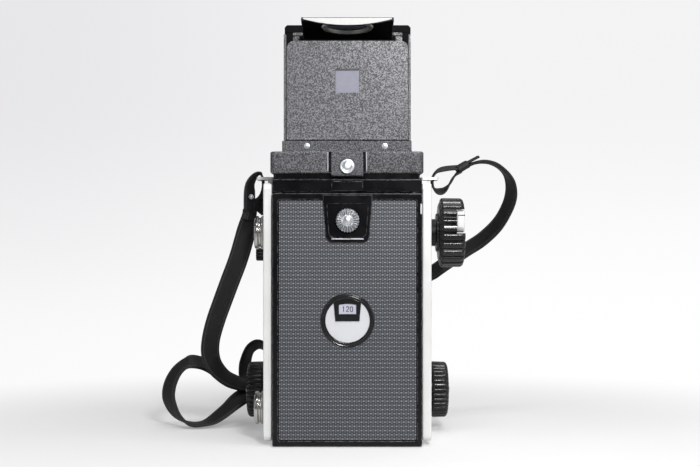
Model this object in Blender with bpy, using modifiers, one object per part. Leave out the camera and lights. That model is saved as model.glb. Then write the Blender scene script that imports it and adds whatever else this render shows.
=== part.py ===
"""Twin lens reflex camera, seen from its rear: knob wind, rack focusing, hinged back, open hood and a neck strap.

Sizes are in millimetres and become metres in the objects. X is the photographer's right, Y is towards the subject
and Z is up. The origin is the centre of the base plate's underside.
"""

import math

import bmesh
import bpy
import numpy as np
from mathutils import Matrix, Vector
from mathutils.geometry import tessellate_polygon

MM = 0.001

# Driving sizes. The film sets the camera's width and height: its frame, and the spools below and above the frame.
FRAME_SIDE = 56.0
SPOOL_R = 12.4
CASE_DEPTH = 71.5
REAR = -34.5
FRONT = REAR + CASE_DEPTH
FOOT = 2.5
BASE_THICK = 3.5
LEFT_SIDE = 4.7
RIGHT_SIDE = 4.9
WALL = 1.7
SHEET = 1.2
GAP = 0.3

# Driving sizes of the lenses and the moving pieces.
STANDARD_THICK = 6.7
PANEL_THICK = 3.2
BELLOWS_LONG = 7.5
VIEW_R = 18.5
TAKE_R = 20.0
SHUTTER_R = 26.5
FOCUS_KNOB_R = 16.2
WIND_KNOB_R = 18.9
SPOOL_KNOB_R = 9.1
DIAL_R = 6.4
FILM_MARK_R = 14.3
BUTTON_R = 4.0
HOOD_TALL = 10.6
REAR_TALL = 52.5
BLIND_TALL = 49.1
MAGNIFIER_LONG = 41.9
STRAP_WIDE = 11.0
STRAP_THICK = 1.8
SHAFT_R = 2.5
PULL_R = 3.0
WIND_R = 5.0
PIN_R = 0.6
PIN_BORE_R = 0.85
LOCK_R = 3.9
LOCK_STEM_R = 1.5
DIAL_STEM_R = 2.0
BOLT_HALF = 3.1
SCREEN_THICK = 2.0

# Places across. The case's half width is that of the film chamber with a rack and a casting beside it.
FRAME_HALF = FRAME_SIDE / 2
WALL_X = FRAME_HALF + 7.0
HALF = WALL_X + 9.9
INSIDE = (-HALF + LEFT_SIDE + GAP, HALF - RIGHT_SIDE - GAP)
CHAMBER_X = WALL_X - WALL
RACK_X = (WALL_X + 0.5, WALL_X + 3.8)
SHEET_X = WALL_X - 2.5
EARS_X = (WALL_X - 5.0, WALL_X + 1.0)
STUDS_X = (4.0 - FRAME_HALF, FRAME_HALF - 4.0)
SCREEN_HALF = WALL_X - 3.5
BLOCK_X = (-8.6, 8.4)

# Places from back to front.
HINGE_Y = REAR - 1.1
BAR_Y = (REAR - 2.0, REAR + 3.5)
DOOR_Y = (REAR - 3.5, REAR + 1.0)
SKIN_Y = DOOR_Y[0] + 0.8
PLATE_Y = DOOR_Y[0] + 0.5
FILM_Y = REAR + 17.5
GATE_Y = (REAR + 9.5, REAR + 12.0)
ROLLER_Y = GATE_Y[0] - 2.5
FOCUS_Y = FRONT - 11.0
FRAME_Y = (FRONT - 7.5, FRONT - 7.5 + WALL)
WALL_Y = (REAR + 3.5, FRAME_Y[0] - GAP)
BELLOWS_Y = (FRAME_Y[1] + GAP, FRAME_Y[1] + GAP + BELLOWS_LONG)
STANDARD_Y = (BELLOWS_Y[1] + GAP, BELLOWS_Y[1] + GAP + STANDARD_THICK)
PANEL_Y = (STANDARD_Y[1] + GAP, STANDARD_Y[1] + GAP + PANEL_THICK)
LENS_Y = PANEL_Y[1] + GAP
SCREEN_Y = (REAR + 15.5, FRONT - 2.0)
STRAP_Y = 2.0

# Places from the floor up. The rollers stand clear of the frame and the spools clear of the rollers.
HINGE_Z = 1.7
SUPPLY_Z = BASE_THICK + SPOOL_R + 2.3
TAKE_Z = SUPPLY_Z + 9.7 + FRAME_HALF + 8.5
ROLLERS_Z = (TAKE_Z + FRAME_HALF + 8.5, TAKE_Z - FRAME_HALF - 8.5)
TAKE_UP_Z = ROLLERS_Z[0] + 13.0
VIEW_Z = TAKE_UP_Z + 0.5
BAFFLE_Z = (TAKE_Z + FRAME_HALF + 2.2, TAKE_Z + FRAME_HALF + 4.0)
FOCUS_Z = BASE_THICK + 19.3
HEAD = VIEW_Z + 26.0
DECK_TOP = HEAD + 1.9
DECK_LOW = DECK_TOP - 5.4
WALL_Z = (BASE_THICK + GAP, DECK_LOW - GAP)
DOOR_Z = (GAP, HEAD - 5.5)
DIAL_X, DIAL_Z = 0.1, DOOR_Z[1] - 14.6
FILM_MARK_Z = TAKE_Z + 2.9
SEAT_Z = DECK_TOP + GAP
HOOD_Z = (DECK_TOP + 3.1, DECK_TOP + 3.1 + HOOD_TALL)
RING_Z = (HOOD_Z[1] + GAP, HOOD_Z[1] + GAP + 1.5)

# Seats of the lenses in their panel, and the axis of the knob that locks the panel.
VIEW_SEAT_R = VIEW_R - 3.9
TAKE_SEAT_R = TAKE_R - 0.4
LOCK_AXIS = (STANDARD_Y[0] + 3.2, VIEW_Z - 13.4)

# Hinges of the hood.
REAR_AXIS = (REAR + 2.2, RING_Z[1] + 6.1)
LID_AXIS = (FRONT, RING_Z[1] + 13.1)
RAIL_TOP = RING_Z[1] + 1.7
BLIND_AXES = {"left": (-SHEET_X - 1.0, RING_Z[1] + 0.9), "right": (SHEET_X + 0.9, RAIL_TOP + 1.0)}
LID_TALL = LID_AXIS[0] - REAR_AXIS[0] - 3.7
EAR_LOW = LID_TALL - 11.0
STAY_RISE = 25.7
LENS_AXIS = (LID_AXIS[0] - 5.0, LID_AXIS[1] + LID_TALL - 8.1)
LENS_TILT = -5.0

# Colour, metallic and roughness of each finish.
FINISHES = {
    "silver": ((0.80, 0.80, 0.79), 0.85, 0.38),
    "chrome": ((0.82, 0.82, 0.83), 1.0, 0.15),
    "steel": ((0.55, 0.55, 0.56), 1.0, 0.32),
    "brass": ((0.70, 0.52, 0.25), 1.0, 0.30),
    "black": ((0.018, 0.018, 0.020), 0.0, 0.42),
    "wrinkle": ((0.09, 0.09, 0.10), 0.0, 0.55),
    "leather": ((0.075, 0.080, 0.090), 0.0, 0.60),
    "plastic": ((0.015, 0.015, 0.016), 0.0, 0.35),
    "enamel": ((0.85, 0.85, 0.84), 0.0, 0.35),
    "rubber": ((0.012, 0.012, 0.012), 0.0, 0.60),
    "cloth": ((0.014, 0.014, 0.015), 0.0, 0.80),
    "glass": ((0.75, 0.80, 0.82), 0.0, 0.03),
    "mirror": ((0.92, 0.92, 0.93), 1.0, 0.03),
}

for old in list(bpy.data.objects):
    bpy.data.objects.remove(old)
PARTS = bpy.data.collections.new("twin_lens_reflex_camera")
TOOLS = bpy.data.collections.new("cutters")
for group in (PARTS, TOOLS):
    bpy.context.scene.collection.children.link(group)


def point(plane, a, b, t):
    """A point from two coordinates in a plane and one along its normal, in metres."""
    place = {"X": (t, a, b), "Y": (a, t, b), "Z": (a, b, t)}[plane]
    return Vector(place) * MM


def normal(plane):
    return point(plane, 0, 0, 1) / MM


def keep(name, bm, finish):
    """The object made from a bmesh. With no finish it is a tool: a cutter, or a piece that a union takes in."""
    bmesh.ops.recalc_face_normals(bm, faces=bm.faces[:])
    mesh = bpy.data.meshes.new(name)
    bm.to_mesh(mesh)
    bm.free()
    obj = bpy.data.objects.new(name, mesh)
    if finish is None:
        TOOLS.objects.link(obj)
        obj.hide_render = True
        obj.display_type = "WIRE"
        return obj
    PARTS.objects.link(obj)
    colour, metallic, roughness = FINISHES[finish]
    material = bpy.data.materials.new(name + " " + finish)
    material.use_nodes = True
    shader = material.node_tree.nodes["Principled BSDF"]
    shader.inputs["Base Color"].default_value = (*colour, 1)
    shader.inputs["Metallic"].default_value = metallic
    shader.inputs["Roughness"].default_value = roughness
    mesh.materials.append(material)
    return obj


def around(middle, half):
    return (middle - half, middle + half)


def mirrored(side, near, far):
    """A span across, given on the right and taken to one side."""
    return sorted((side * near, side * far))


def arc(a, b, r, start, end, n=12):
    turns = np.radians(np.linspace(start, end, n + 1))
    return [(a + r * math.cos(turn), b + r * math.sin(turn)) for turn in turns]


def circle(a, b, r, n=32):
    return arc(a, b, r, 0, 360, n)[:-1]


def rect(a_span, b_span, r=0.0, n=4):
    """The outline of a rectangle with rounded corners."""
    (a0, a1), (b0, b1) = a_span, b_span
    if not r:
        return [(a0, b0), (a1, b0), (a1, b1), (a0, b1)]
    corners = ((a1 - r, b0 + r, -90), (a1 - r, b1 - r, 0), (a0 + r, b1 - r, 90), (a0 + r, b0 + r, 180))
    return [spot for a, b, start in corners for spot in arc(a, b, r, start, start + 90, n)]


def grown(outline, by):
    """The outline moved out by a distance along the normals of its corners."""
    shape = np.array(outline, float)
    before = shape - np.roll(shape, 1, axis=0)
    after = np.roll(shape, -1, axis=0) - shape
    normals = []
    for edge in (before, after):
        across = np.stack([edge[:, 1], -edge[:, 0]], axis=1)
        normals.append(across / np.linalg.norm(across, axis=1, keepdims=True))
    middle = normals[0] + normals[1]
    middle /= (middle * normals[0]).sum(axis=1, keepdims=True)
    return [tuple(spot) for spot in shape + by * middle]


def prism(name, plane, span, outer, holes=(), finish=None):
    """A flat outline with holes, filled and then drawn out along the plane's normal over the span."""
    lo, hi = span
    loops = [[Vector((a, b, 0)) for a, b in loop] for loop in (outer, *holes)]
    bm = bmesh.new()
    corners = [bm.verts.new(point(plane, spot.x, spot.y, lo)) for loop in loops for spot in loop]
    flat = tessellate_polygon(loops) if holes else [range(len(corners))]
    faces = [bm.faces.new([corners[k] for k in face]) for face in flat]
    drawn = bmesh.ops.extrude_face_region(bm, geom=faces, use_keep_orig=True)
    moved = [item for item in drawn["geom"] if isinstance(item, bmesh.types.BMVert)]
    bmesh.ops.translate(bm, verts=moved, vec=normal(plane) * (hi - lo) * MM)
    return keep(name, bm, finish)


def box(name, x, y, z, finish=None):
    """A block between two places along each axis."""
    spans = (x, y, z)
    middle = Vector([sum(span) / 2 * MM for span in spans])
    size = Matrix.Diagonal([(span[1] - span[0]) * MM for span in spans] + [1])
    bm = bmesh.new()
    bmesh.ops.create_cube(bm, size=1.0, matrix=Matrix.Translation(middle) @ size)
    return keep(name, bm, finish)


def turned(name, axis, centre, profile, finish=None, n=32, ribs=0, sides=2):
    """A closed profile of (along, radius, rib depth) spun about an axis; a rib depth cuts flutes into that ring."""
    count = ribs * sides if ribs else n
    bm = bmesh.new()
    line = [bm.verts.new(point(axis, centre[0] + radius, centre[1], along)) for along, radius, *_ in profile]
    edges = [bm.edges.new(pair) for pair in zip(line, line[1:] + line[:1])]
    hub = point(axis, *centre, 0)
    turn = -normal(axis) if axis == "Y" else normal(axis)
    bmesh.ops.spin(
        bm, geom=line + edges, cent=hub, axis=turn, angle=2 * math.pi, steps=count, use_merge=True, space=Matrix()
    )
    depths = {(round(along, 3), round(radius, 3)): depth[0] for along, radius, *depth in profile if depth}
    for vertex in bm.verts if ribs else ():
        arm = (vertex.co - hub) / MM
        along = arm.dot(normal(axis))
        arm -= along * normal(axis)
        a, b = {"X": arm.yz, "Y": arm.xz, "Z": arm.xy}[axis]
        step = round(math.atan2(b, a) / (2 * math.pi) * count) % count
        depth = depths.get((round(along, 3), round(arm.length, 3)), 0.0)
        if depth and step % sides >= sides / 2:
            vertex.co -= arm.normalized() * depth * MM
    bmesh.ops.remove_doubles(bm, verts=bm.verts[:], dist=1e-7)
    return keep(name, bm, finish)


def rod(name, axis, centre, span, r, finish=None, n=24):
    lo, hi = span
    return turned(name, axis, centre, [(lo, 0), (lo, r), (hi, r), (hi, 0)], finish, n)


def skin_faces(bm, rings, closed):
    """Faces between each ring of vertices and the next, and from the last to the first; a ring may be closed."""
    for a, b in zip(rings, rings[1:] + rings[:1]):
        for k in range(0 if closed else 1, len(a)):
            bm.faces.new((a[k - 1], a[k], b[k], b[k - 1]))


def combine(obj, operation, tools):
    for tool in tools:
        change = obj.modifiers.new(tool.name, "BOOLEAN")
        change.operation = operation
        change.solver = "EXACT"
        change.object = tool


def cut(obj, *tools):
    combine(obj, "DIFFERENCE", tools)


def fuse(obj, *tools):
    combine(obj, "UNION", tools)


def bevel(obj, width, segments=2):
    change = obj.modifiers.new("edges", "BEVEL")
    change.width = width * MM
    change.segments = segments
    change.limit_method = "ANGLE"
    change.angle_limit = math.radians(50)
    change.use_clamp_overlap = True


def pivot(obj, x, y, z):
    """Moves the object's origin onto its joint's axis without moving its shape."""
    place = Vector((x, y, z)) * MM
    obj.data.transform(Matrix.Translation(-place))
    obj.location = place
    return obj


def sides():
    """The two side castings, bored for the shafts that pass through them."""
    shaft = (FOCUS_Y, FOCUS_Z, SHAFT_R + 0.4)
    pulls = [(FILM_Y, z, PULL_R + 0.4) for z in (TAKE_UP_Z, SUPPLY_Z)]
    wind = (FILM_Y, TAKE_UP_Z, WIND_R + 0.6)
    spans = {"left": (-HALF, -HALF + LEFT_SIDE), "right": (HALF - RIGHT_SIDE, HALF)}
    bores = {"left": (shaft, *pulls), "right": (shaft, wind)}
    corner, edge, through = 3.0, 1.3, 3.0
    for name, span in spans.items():
        outline = rect((REAR, FRONT), (FOOT, HEAD), corner, 3)
        casting = prism(name + "_casting", "X", span, outline, finish="silver")
        bevel(casting, edge)
        for k, (y, z, r) in enumerate(bores[name]):
            cut(casting, rod(f"{name}_casting_bore_{k}", "X", (y, z), (span[0] - through, span[1] + through), r))


def base():
    """The base plate with the ears of the door's hinge, the hinge pin and the tripod socket."""
    flange_r, neck_r, cup_r, thread_r = 9.8, 8.0, 6.5, 3.2
    socket_y = FRONT - 22.0
    eye_r = 1.35
    outline = rect(INSIDE, (REAR + 3.0, FRONT), 1.5, 3)
    plate = prism("base_plate", "Z", (0, BASE_THICK), outline, [circle(0, socket_y, neck_r + GAP, 40)], "black")
    for side in (-1, 1):
        ear_x = mirrored(side, *EARS_X)
        neck_z = (HINGE_Z - 1.0, BASE_THICK - 0.2)
        fuse(plate, box(f"ear_neck_{side}", ear_x, (HINGE_Y, REAR + 4.0), neck_z))
        fuse(plate, rod(f"ear_eye_{side}", "X", (HINGE_Y, HINGE_Z), ear_x, eye_r, n=20))
    cut(plate, rod("ear_bore", "X", (HINGE_Y, HINGE_Z), (-HALF, HALF), PIN_BORE_R, n=16))
    pin_x = (INSIDE[0] + 0.5, INSIDE[1] - 0.5)
    rod("door_hinge_pin", "X", (HINGE_Y, HINGE_Z), pin_x, PIN_R, "steel", 12)
    low, top = 0.1, BASE_THICK + GAP
    cup, roof = top + 4.2, top + 2.8
    flange = top + 1.4
    socket = [
        (low, thread_r), (low, neck_r), (top, neck_r), (top, flange_r), (flange, flange_r), (flange, cup_r),
        (cup, cup_r), (cup, 0), (roof, 0), (roof, thread_r),
    ]
    turned("tripod_socket", "Z", (0, socket_y), socket, "steel")


def top():
    """The band over the back, with the keeper that the latch bolt enters, and the deck with its opening."""
    bar_z = (DOOR_Z[1] + 0.5, DECK_TOP)
    bar = box("rear_top_bar", INSIDE, BAR_Y, bar_z, "black")
    bevel(bar, 0.5)
    fuse(bar, box("keeper_block", BLOCK_X, (BAR_Y[0] - 1.1, BAR_Y[0] + 2.5), (bar_z[0] + 0.2, bar_z[1] - 0.7)))
    pocket_z = (bar_z[0] - 1.0, bar_z[0] + 3.2)
    cut(bar, box("keeper_pocket", around(DIAL_X, BOLT_HALF + 0.5), (BAR_Y[0] + 0.1, BAR_Y[0] + 2.6), pocket_z))
    deck = rect(INSIDE, (BAR_Y[1] + GAP, FRONT), 1.5, 3)
    opening = rect((-SCREEN_HALF + 2.5, SCREEN_HALF - 2.5), (SCREEN_Y[0] + 2.0, SCREEN_Y[1] - 2.0), 2.0, 3)
    prism("top_deck", "Z", (DECK_LOW, DECK_TOP), deck, [opening], "black")
    screen = rect((-SCREEN_HALF, SCREEN_HALF), SCREEN_Y, 1.0, 2)
    prism("focusing_screen", "Z", (SEAT_Z, SEAT_Z + SCREEN_THICK), screen, finish="glass")


def chamber():
    """Two walls, the gate with its aperture and the light baffle, cast in one; the rollers and the mirror in it."""
    pin_r, roller_r, pin_way = 1.0, 2.2, 0.3
    into = CHAMBER_X + 0.7
    pins = [circle(ROLLER_Y, z, pin_r + pin_way, 14) for z in ROLLERS_Z]
    shaft = circle(FOCUS_Y, FOCUS_Z, SHAFT_R + 0.4, 20)
    pulls = [circle(FILM_Y, z, PULL_R + 0.4, 24) for z in (TAKE_UP_Z, SUPPLY_Z)]
    wind = circle(FILM_Y, TAKE_UP_Z, WIND_R + 0.6, 24)
    wall = rect(WALL_Y, WALL_Z)
    gate = rect((-into, into), around(TAKE_Z, FRAME_HALF + 7.0))
    window = rect((-FRAME_HALF, FRAME_HALF), around(TAKE_Z, FRAME_HALF))
    body = prism("film_chamber", "X", (-WALL_X, -CHAMBER_X), wall, [*pulls, shaft, *pins], "black")
    fuse(
        body,
        prism("gate_plate", "Y", GATE_Y, gate, [window]),
        prism("baffle_plate", "Z", BAFFLE_Z, rect((-into, into), (GATE_Y[1] - 1.0, WALL_Y[1]))),
        prism("right_wall", "X", (CHAMBER_X, WALL_X), wall, [wind, shaft, *pins]),
        rod("supply_pivot", "X", (FILM_Y, SUPPLY_Z), (CHAMBER_X - 3.8, into), PULL_R),
    )
    end, pin_end = CHAMBER_X - GAP, WALL_X - 0.2
    roller = [
        (-pin_end, 0), (-pin_end, pin_r), (-end, pin_r), (-end, roller_r), (end, roller_r), (end, pin_r),
        (pin_end, pin_r), (pin_end, 0),
    ]
    for name, z in zip(("upper_roller", "lower_roller"), ROLLERS_Z):
        pivot(turned(name, "X", (ROLLER_Y, z), roller, "chrome", 20), 0, ROLLER_Y, z)
    thick, lift = 1.4, 0.2
    foot = (WALL_Y[1] - 2.7, BAFFLE_Z[1] + 1.5)
    rise = WALL_Z[1] - 0.7 - foot[1]
    crest = (foot[0] - rise, foot[1] + rise)
    back = [(crest[0] - thick, crest[1] - thick), (foot[0] - thick, foot[1] - thick + lift)]
    prism("reflex_mirror", "X", (-end, end), [foot, crest, *back], finish="mirror")


def bellows():
    """The plate that the bellows is fixed to, and a pleated tube of rounded rectangles that steps in and out."""
    holes = [circle(0, VIEW_Z, VIEW_R + 0.5, 36), circle(0, TAKE_Z, SHUTTER_R + 0.5, 40)]
    prism("front_frame", "Y", FRAME_Y, rect((-WALL_X, WALL_X), WALL_Z), holes, "black")
    fold_count = 4
    depth, skin, corner = 1.6, 0.8, 6.0
    half = WALL_X - 4.0
    low, high = WALL_Z[0] + 5.2, WALL_Z[1] - 1.2
    rows = 2 * fold_count + 1
    bm = bmesh.new()
    outer_steps = [depth * (k % 2) for k in range(rows)]
    steps = outer_steps + [step + skin for step in reversed(outer_steps)]
    places = np.linspace(*BELLOWS_Y, rows)
    rings = []
    for step, y in zip(steps, [*places, *reversed(places)]):
        outline = rect((-half + step, half - step), (low + step, high - step), corner, 3)
        rings.append([bm.verts.new(point("Y", a, b, y)) for a, b in outline])
    skin_faces(bm, rings, closed=True)
    keep("bellows", bm, "cloth")


def front():
    """The standard that the racks carry and the lens panel on it."""
    corner = 8.0
    holes = [circle(0, VIEW_Z, VIEW_R + 0.5, 36), circle(0, TAKE_Z, SHUTTER_R + 0.5, 40)]
    outline = rect((-HALF + 3.9, HALF - 4.7), (FOOT + 4.0, HEAD - 0.5), corner, 4)
    standard = prism("front_standard", "Y", STANDARD_Y, outline, holes, "silver")
    cut(standard, rod("lens_lock_bore", "X", LOCK_AXIS, (-HALF - 5.1, -HALF + 8.4), LOCK_STEM_R + 0.3))
    seats = [circle(0, VIEW_Z, VIEW_SEAT_R + GAP, 36), circle(0, TAKE_Z, TAKE_SEAT_R + GAP, 40)]
    panel = rect((-WALL_X - 0.5, WALL_X + 0.5), (TAKE_Z - 34.0, VIEW_Z + 22.0), 6.0, 4)
    prism("lens_panel", "Y", PANEL_Y, panel, seats, "black")
    stem, head, tip = -HALF + 7.9, -HALF - 4.9, -HALF - 9.6
    flute = 0.5
    knob = [
        (stem, 0), (stem, LOCK_STEM_R), (head, LOCK_STEM_R), (head, LOCK_R, flute), (tip, LOCK_R, flute), (tip, 0),
    ]
    pivot(turned("lens_lock_knob", "X", LOCK_AXIS, knob, "plastic", ribs=12), -HALF, *LOCK_AXIS)


def lenses():
    """The viewing lens, the shutter with the taking lens, and the rings and lever that turn on the shutter."""
    back = STANDARD_Y[0] + 1.7
    waist, rim = LENS_Y + 16.2, LENS_Y + 23.7
    view = [
        (back, VIEW_R - 6.0), (back, VIEW_SEAT_R), (LENS_Y, VIEW_SEAT_R), (LENS_Y, VIEW_R + 0.3),
        (LENS_Y + 2.2, VIEW_R + 0.3), (LENS_Y + 2.2, VIEW_R - 1.0), (waist, VIEW_R - 1.0), (waist, VIEW_R),
        (rim, VIEW_R), (rim, VIEW_R - 2.9), (rim - 1.7, VIEW_R - 4.3), (waist, VIEW_R - 4.3), (waist, VIEW_R - 6.0),
    ]
    turned("viewing_lens_barrel", "Y", (0, VIEW_Z), view, "black")
    lens("viewing_lens_glass", VIEW_Z, waist + GAP, VIEW_R - 4.3 - GAP, 3.5)
    ring_y = LENS_Y + 9.1
    neck, rim = LENS_Y + 17.6, LENS_Y + 26.7
    seat = LENS_Y + 19.7
    take = [
        (back, TAKE_R - 5.0), (back, TAKE_SEAT_R), (LENS_Y, TAKE_SEAT_R), (LENS_Y, SHUTTER_R), (ring_y, SHUTTER_R),
        (ring_y, TAKE_R - 2.0), (neck, TAKE_R - 2.0), (neck, TAKE_R), (rim, TAKE_R), (rim, TAKE_R - 2.4),
        (rim - 1.5, TAKE_R - 3.8), (seat, TAKE_R - 3.8), (seat, TAKE_R - 5.0),
    ]
    turned("shutter_housing", "Y", (0, TAKE_Z), take, "black")
    lens("taking_lens_glass", TAKE_Z, seat + GAP, TAKE_R - 3.8 - GAP, 3.2)
    bore = TAKE_R - 2.0 + GAP
    speed_y = (ring_y + GAP, ring_y + GAP + 4.0)
    speed_r, flute = TAKE_R + 4.5, 0.7
    speed = [(speed_y[0], bore), (speed_y[0], speed_r, flute), (speed_y[1], speed_r, flute), (speed_y[1], bore)]
    pivot(turned("speed_ring", "Y", (0, TAKE_Z), speed, "chrome", ribs=30), 0, sum(speed_y) / 2, TAKE_Z)
    aperture_y = (speed_y[1] + GAP, neck - GAP)
    aperture_r = TAKE_R + 1.8
    collar("aperture_ring", aperture_y, bore, aperture_r, (-aperture_r - 6.7, -aperture_r + 1.3), 0.7, 2.2, "black")
    lever_r = SHUTTER_R + 2.1
    lever_y = (LENS_Y + 2.2, LENS_Y + 4.7)
    collar("cocking_lever", lever_y, SHUTTER_R + GAP, lever_r, (lever_r - 0.6, lever_r + 6.4), 0.2, 2.5, "chrome")


def lens(name, z, back, r, edge):
    """A lens with a flat back and a crown in two steps."""
    crown = edge + 2.2
    profile = [(back, 0), (back, r), (back + edge, r), (back + crown - 0.6, r * 0.6), (back + crown, 0)]
    turned(name, "Y", (0, z), profile, "glass")


def collar(name, span, bore, r, tab_x, inset, tab_half, finish):
    """A plain ring about the taking lens with a tab to turn it by."""
    profile = [(span[0], bore), (span[0], r), (span[1], r), (span[1], bore)]
    ring = turned(name, "Y", (0, TAKE_Z), profile, finish)
    fuse(ring, box(name + "_tab", tab_x, (span[0] + inset, span[1] - inset), around(TAKE_Z, tab_half)))
    pivot(ring, 0, sum(span) / 2, TAKE_Z)


# Rack and pinion: slim teeth of module one.
TEETH = 12
MODULE = 1.0
PITCH_R = TEETH * MODULE / 2
HALF_TOOTH = 0.56 * MODULE
ADDENDUM = 0.80 * MODULE
DEDENDUM = 1.25 * MODULE
SLOPE = 0.364
TOOTH = ((-1, -DEDENDUM), (-1, ADDENDUM), (1, ADDENDUM), (1, -DEDENDUM))


def pinion_outline():
    """Straight-flanked teeth; at rest a gap faces up, where a tooth of the rack stands."""
    outline = []
    for k in range(TEETH):
        middle = math.pi / 2 + 2 * math.pi * (k + 0.5) / TEETH
        for side, height in TOOTH:
            r = PITCH_R + height
            turn = middle + side * (HALF_TOOTH - SLOPE * height) / r
            outline.append((FOCUS_Y + r * math.cos(turn), FOCUS_Z + r * math.sin(turn)))
    return outline


def rack_outline(lo, hi, thick):
    """A bar with teeth on its underside, from near its rear end to just past the pinion."""
    line = FOCUS_Z + PITCH_R
    root = line + DEDENDUM
    pitch = math.pi * MODULE
    first = math.ceil((lo + 1.5 - FOCUS_Y) / pitch)
    outline = [(hi, root + thick), (lo, root + thick), (lo, root)]
    for k in range(first, 3):
        middle = FOCUS_Y + k * pitch
        outline += [(middle + side * (HALF_TOOTH - SLOPE * height), line - height) for side, height in TOOTH]
    return outline + [(hi, root)]


def focusing():
    """Two racks on the standard, the shaft with a pinion under each, and a knob at each end."""
    axis = (FOCUS_Y, FOCUS_Z)
    shaft_end = HALF + 10.8
    shaft = rod("focus_shaft", "X", axis, (-shaft_end, shaft_end), SHAFT_R, "steel", 20)
    r, skirt, flute = FOCUS_KNOB_R, 0.6, 0.9
    inner, deep = HALF + 2.1, shaft_end + GAP
    for name, side in (("left", -1), ("right", 1)):
        span = mirrored(side, *RACK_X)
        prism(name + "_focus_rack", "X", span, rack_outline(REAR + 7.5, STANDARD_Y[0] - GAP, 5.35), finish="brass")
        fuse(shaft, prism(f"pinion_{side}", "X", span, pinion_outline()))
        profile = [
            (inner, SHAFT_R + GAP), (inner, r - 0.6, skirt), (inner + 1.0, r, flute), (inner + 8.8, r - 0.6, flute),
            (inner + 9.8, r - 1.6), (inner + 11.0, r * 0.62), (inner + 11.6, r * 0.31), (inner + 11.8, 0), (deep, 0),
            (deep, SHAFT_R + GAP),
        ]
        profile = [(side * along, *rest) for along, *rest in profile]
        pivot(turned(name + "_focus_knob", "X", axis, profile, "plastic", ribs=34), 0, *axis)
    pivot(shaft, 0, *axis)


def winding():
    """The wind knob with its folding crank, the shaft in the right casting and the spool that it turns."""
    axis = (FILM_Y, TAKE_UP_Z)
    tongue, tongue_half, key = 1.0, 4.0, 0.4
    boss_r, boss, shoulder, end = 7.4, HALF + 0.4, HALF + 3.1, HALF + 11.3
    flange = CHAMBER_X - 0.7
    start = flange + GAP
    shaft = [
        (start, 0), (start, WIND_R), (boss, WIND_R), (boss, boss_r), (shoulder, boss_r), (shoulder, WIND_R),
        (end, WIND_R), (end, 0),
    ]
    wind_shaft = turned("wind_shaft", "X", axis, shaft, "black", 32)
    tongue_x = (start - 3.0, start + 1.1)
    fuse(wind_shaft, box("wind_tongue", tongue_x, around(FILM_Y, tongue_half), around(TAKE_UP_Z, tongue)))
    pivot(wind_shaft, 0, *axis)
    near, far = shoulder + GAP, HALF + 18.3
    r, flute, bore = WIND_KNOB_R, 1.4, WIND_R + GAP
    profile = [
        (near, bore), (near, r - 2.3), (near + 2.0, r - 2.3), (near + 2.0, r - 0.3, 1.2), (near + 3.1, r, flute),
        (far - 1.1, r - 0.3, flute), (far, r - 1.3, 0.6), (far, 0), (end + GAP, 0), (end + GAP, bore),
    ]
    knob = turned("wind_knob", "X", axis, profile, "plastic", ribs=24, sides=4)
    slot_x, slot_z = far - 4.7, (TAKE_UP_Z - 0.4, TAKE_UP_Z + 12.6)
    cut(knob, box("crank_slot", (slot_x, far + 4.5), around(FILM_Y, r + 6.0), slot_z))
    pivot(knob, 0, *axis)
    crank_r, crank_way = 2.1, 0.5
    crank_x = slot_x + crank_r + 0.4
    crank_y = (FILM_Y - r + 8.3, FILM_Y + r - 7.5)
    outline = arc(crank_x, crank_y[0], crank_r, 180, 360, 8) + arc(crank_x, crank_y[1], crank_r, 0, 180, 8)
    crank = prism("wind_crank", "Z", (slot_z[0] + crank_way, slot_z[1] - crank_way), outline, finish="chrome")
    pivot(crank, crank_x, crank_y[0], sum(slot_z) / 2)
    core_r, rim, well = 5.6, 1.3, 6.1
    spool = [
        (-flange, PULL_R + 0.4), (-flange, SPOOL_R), (rim - flange, SPOOL_R), (rim - flange, core_r),
        (flange - rim, core_r), (flange - rim, SPOOL_R), (flange, SPOOL_R), (flange, 0), (well - flange, 0),
        (well - flange, PULL_R + 0.4),
    ]
    take_up = turned("take_up_spool", "X", axis, spool, "black", 36)
    key_z = around(TAKE_UP_Z, tongue + key)
    cut(take_up, box("spool_key", (flange - 4.1, flange + 2.4), around(FILM_Y, tongue_half + key), key_z))
    pivot(take_up, 0, *axis)


def spool_knobs():
    """Two turned knobs on the left that are pulled out to free a spool."""
    r, groove = SPOOL_KNOB_R, 0.9
    inner, near = -CHAMBER_X + 4.8, -HALF - 0.4
    profile = [
        (inner, 0), (inner, PULL_R), (near, PULL_R), (near, r - 0.2), (near - 1.7, r), (near - 2.1, r - groove),
        (near - 2.6, r - groove), (near - 3.0, r), (near - 4.9, r - 0.2), (near - 5.4, r - 1.1), (near - 5.4, 0),
    ]
    for name, z in (("upper", TAKE_UP_Z), ("lower", SUPPLY_Z)):
        turned(name + "_spool_knob", "X", (FILM_Y, z), profile, "silver", 36)


def latch_outline():
    """The latch plate: wide at the top, with round corners at the bottom."""
    top, shoulder, corner = DIAL_Z + 13.7, DIAL_Z - 6.9, 4.0
    low = shoulder - 1.0
    wide, narrow = 13.3, 11.7
    left = [(DIAL_X - 0.2 - wide, top), (DIAL_X - narrow, shoulder)]
    left += arc(DIAL_X - narrow + corner, low, corner, 180, 270, 4)
    return left + arc(DIAL_X + narrow - corner, low, corner, 270, 360, 4) + [(DIAL_X - 0.2 + wide, top)]


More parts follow.
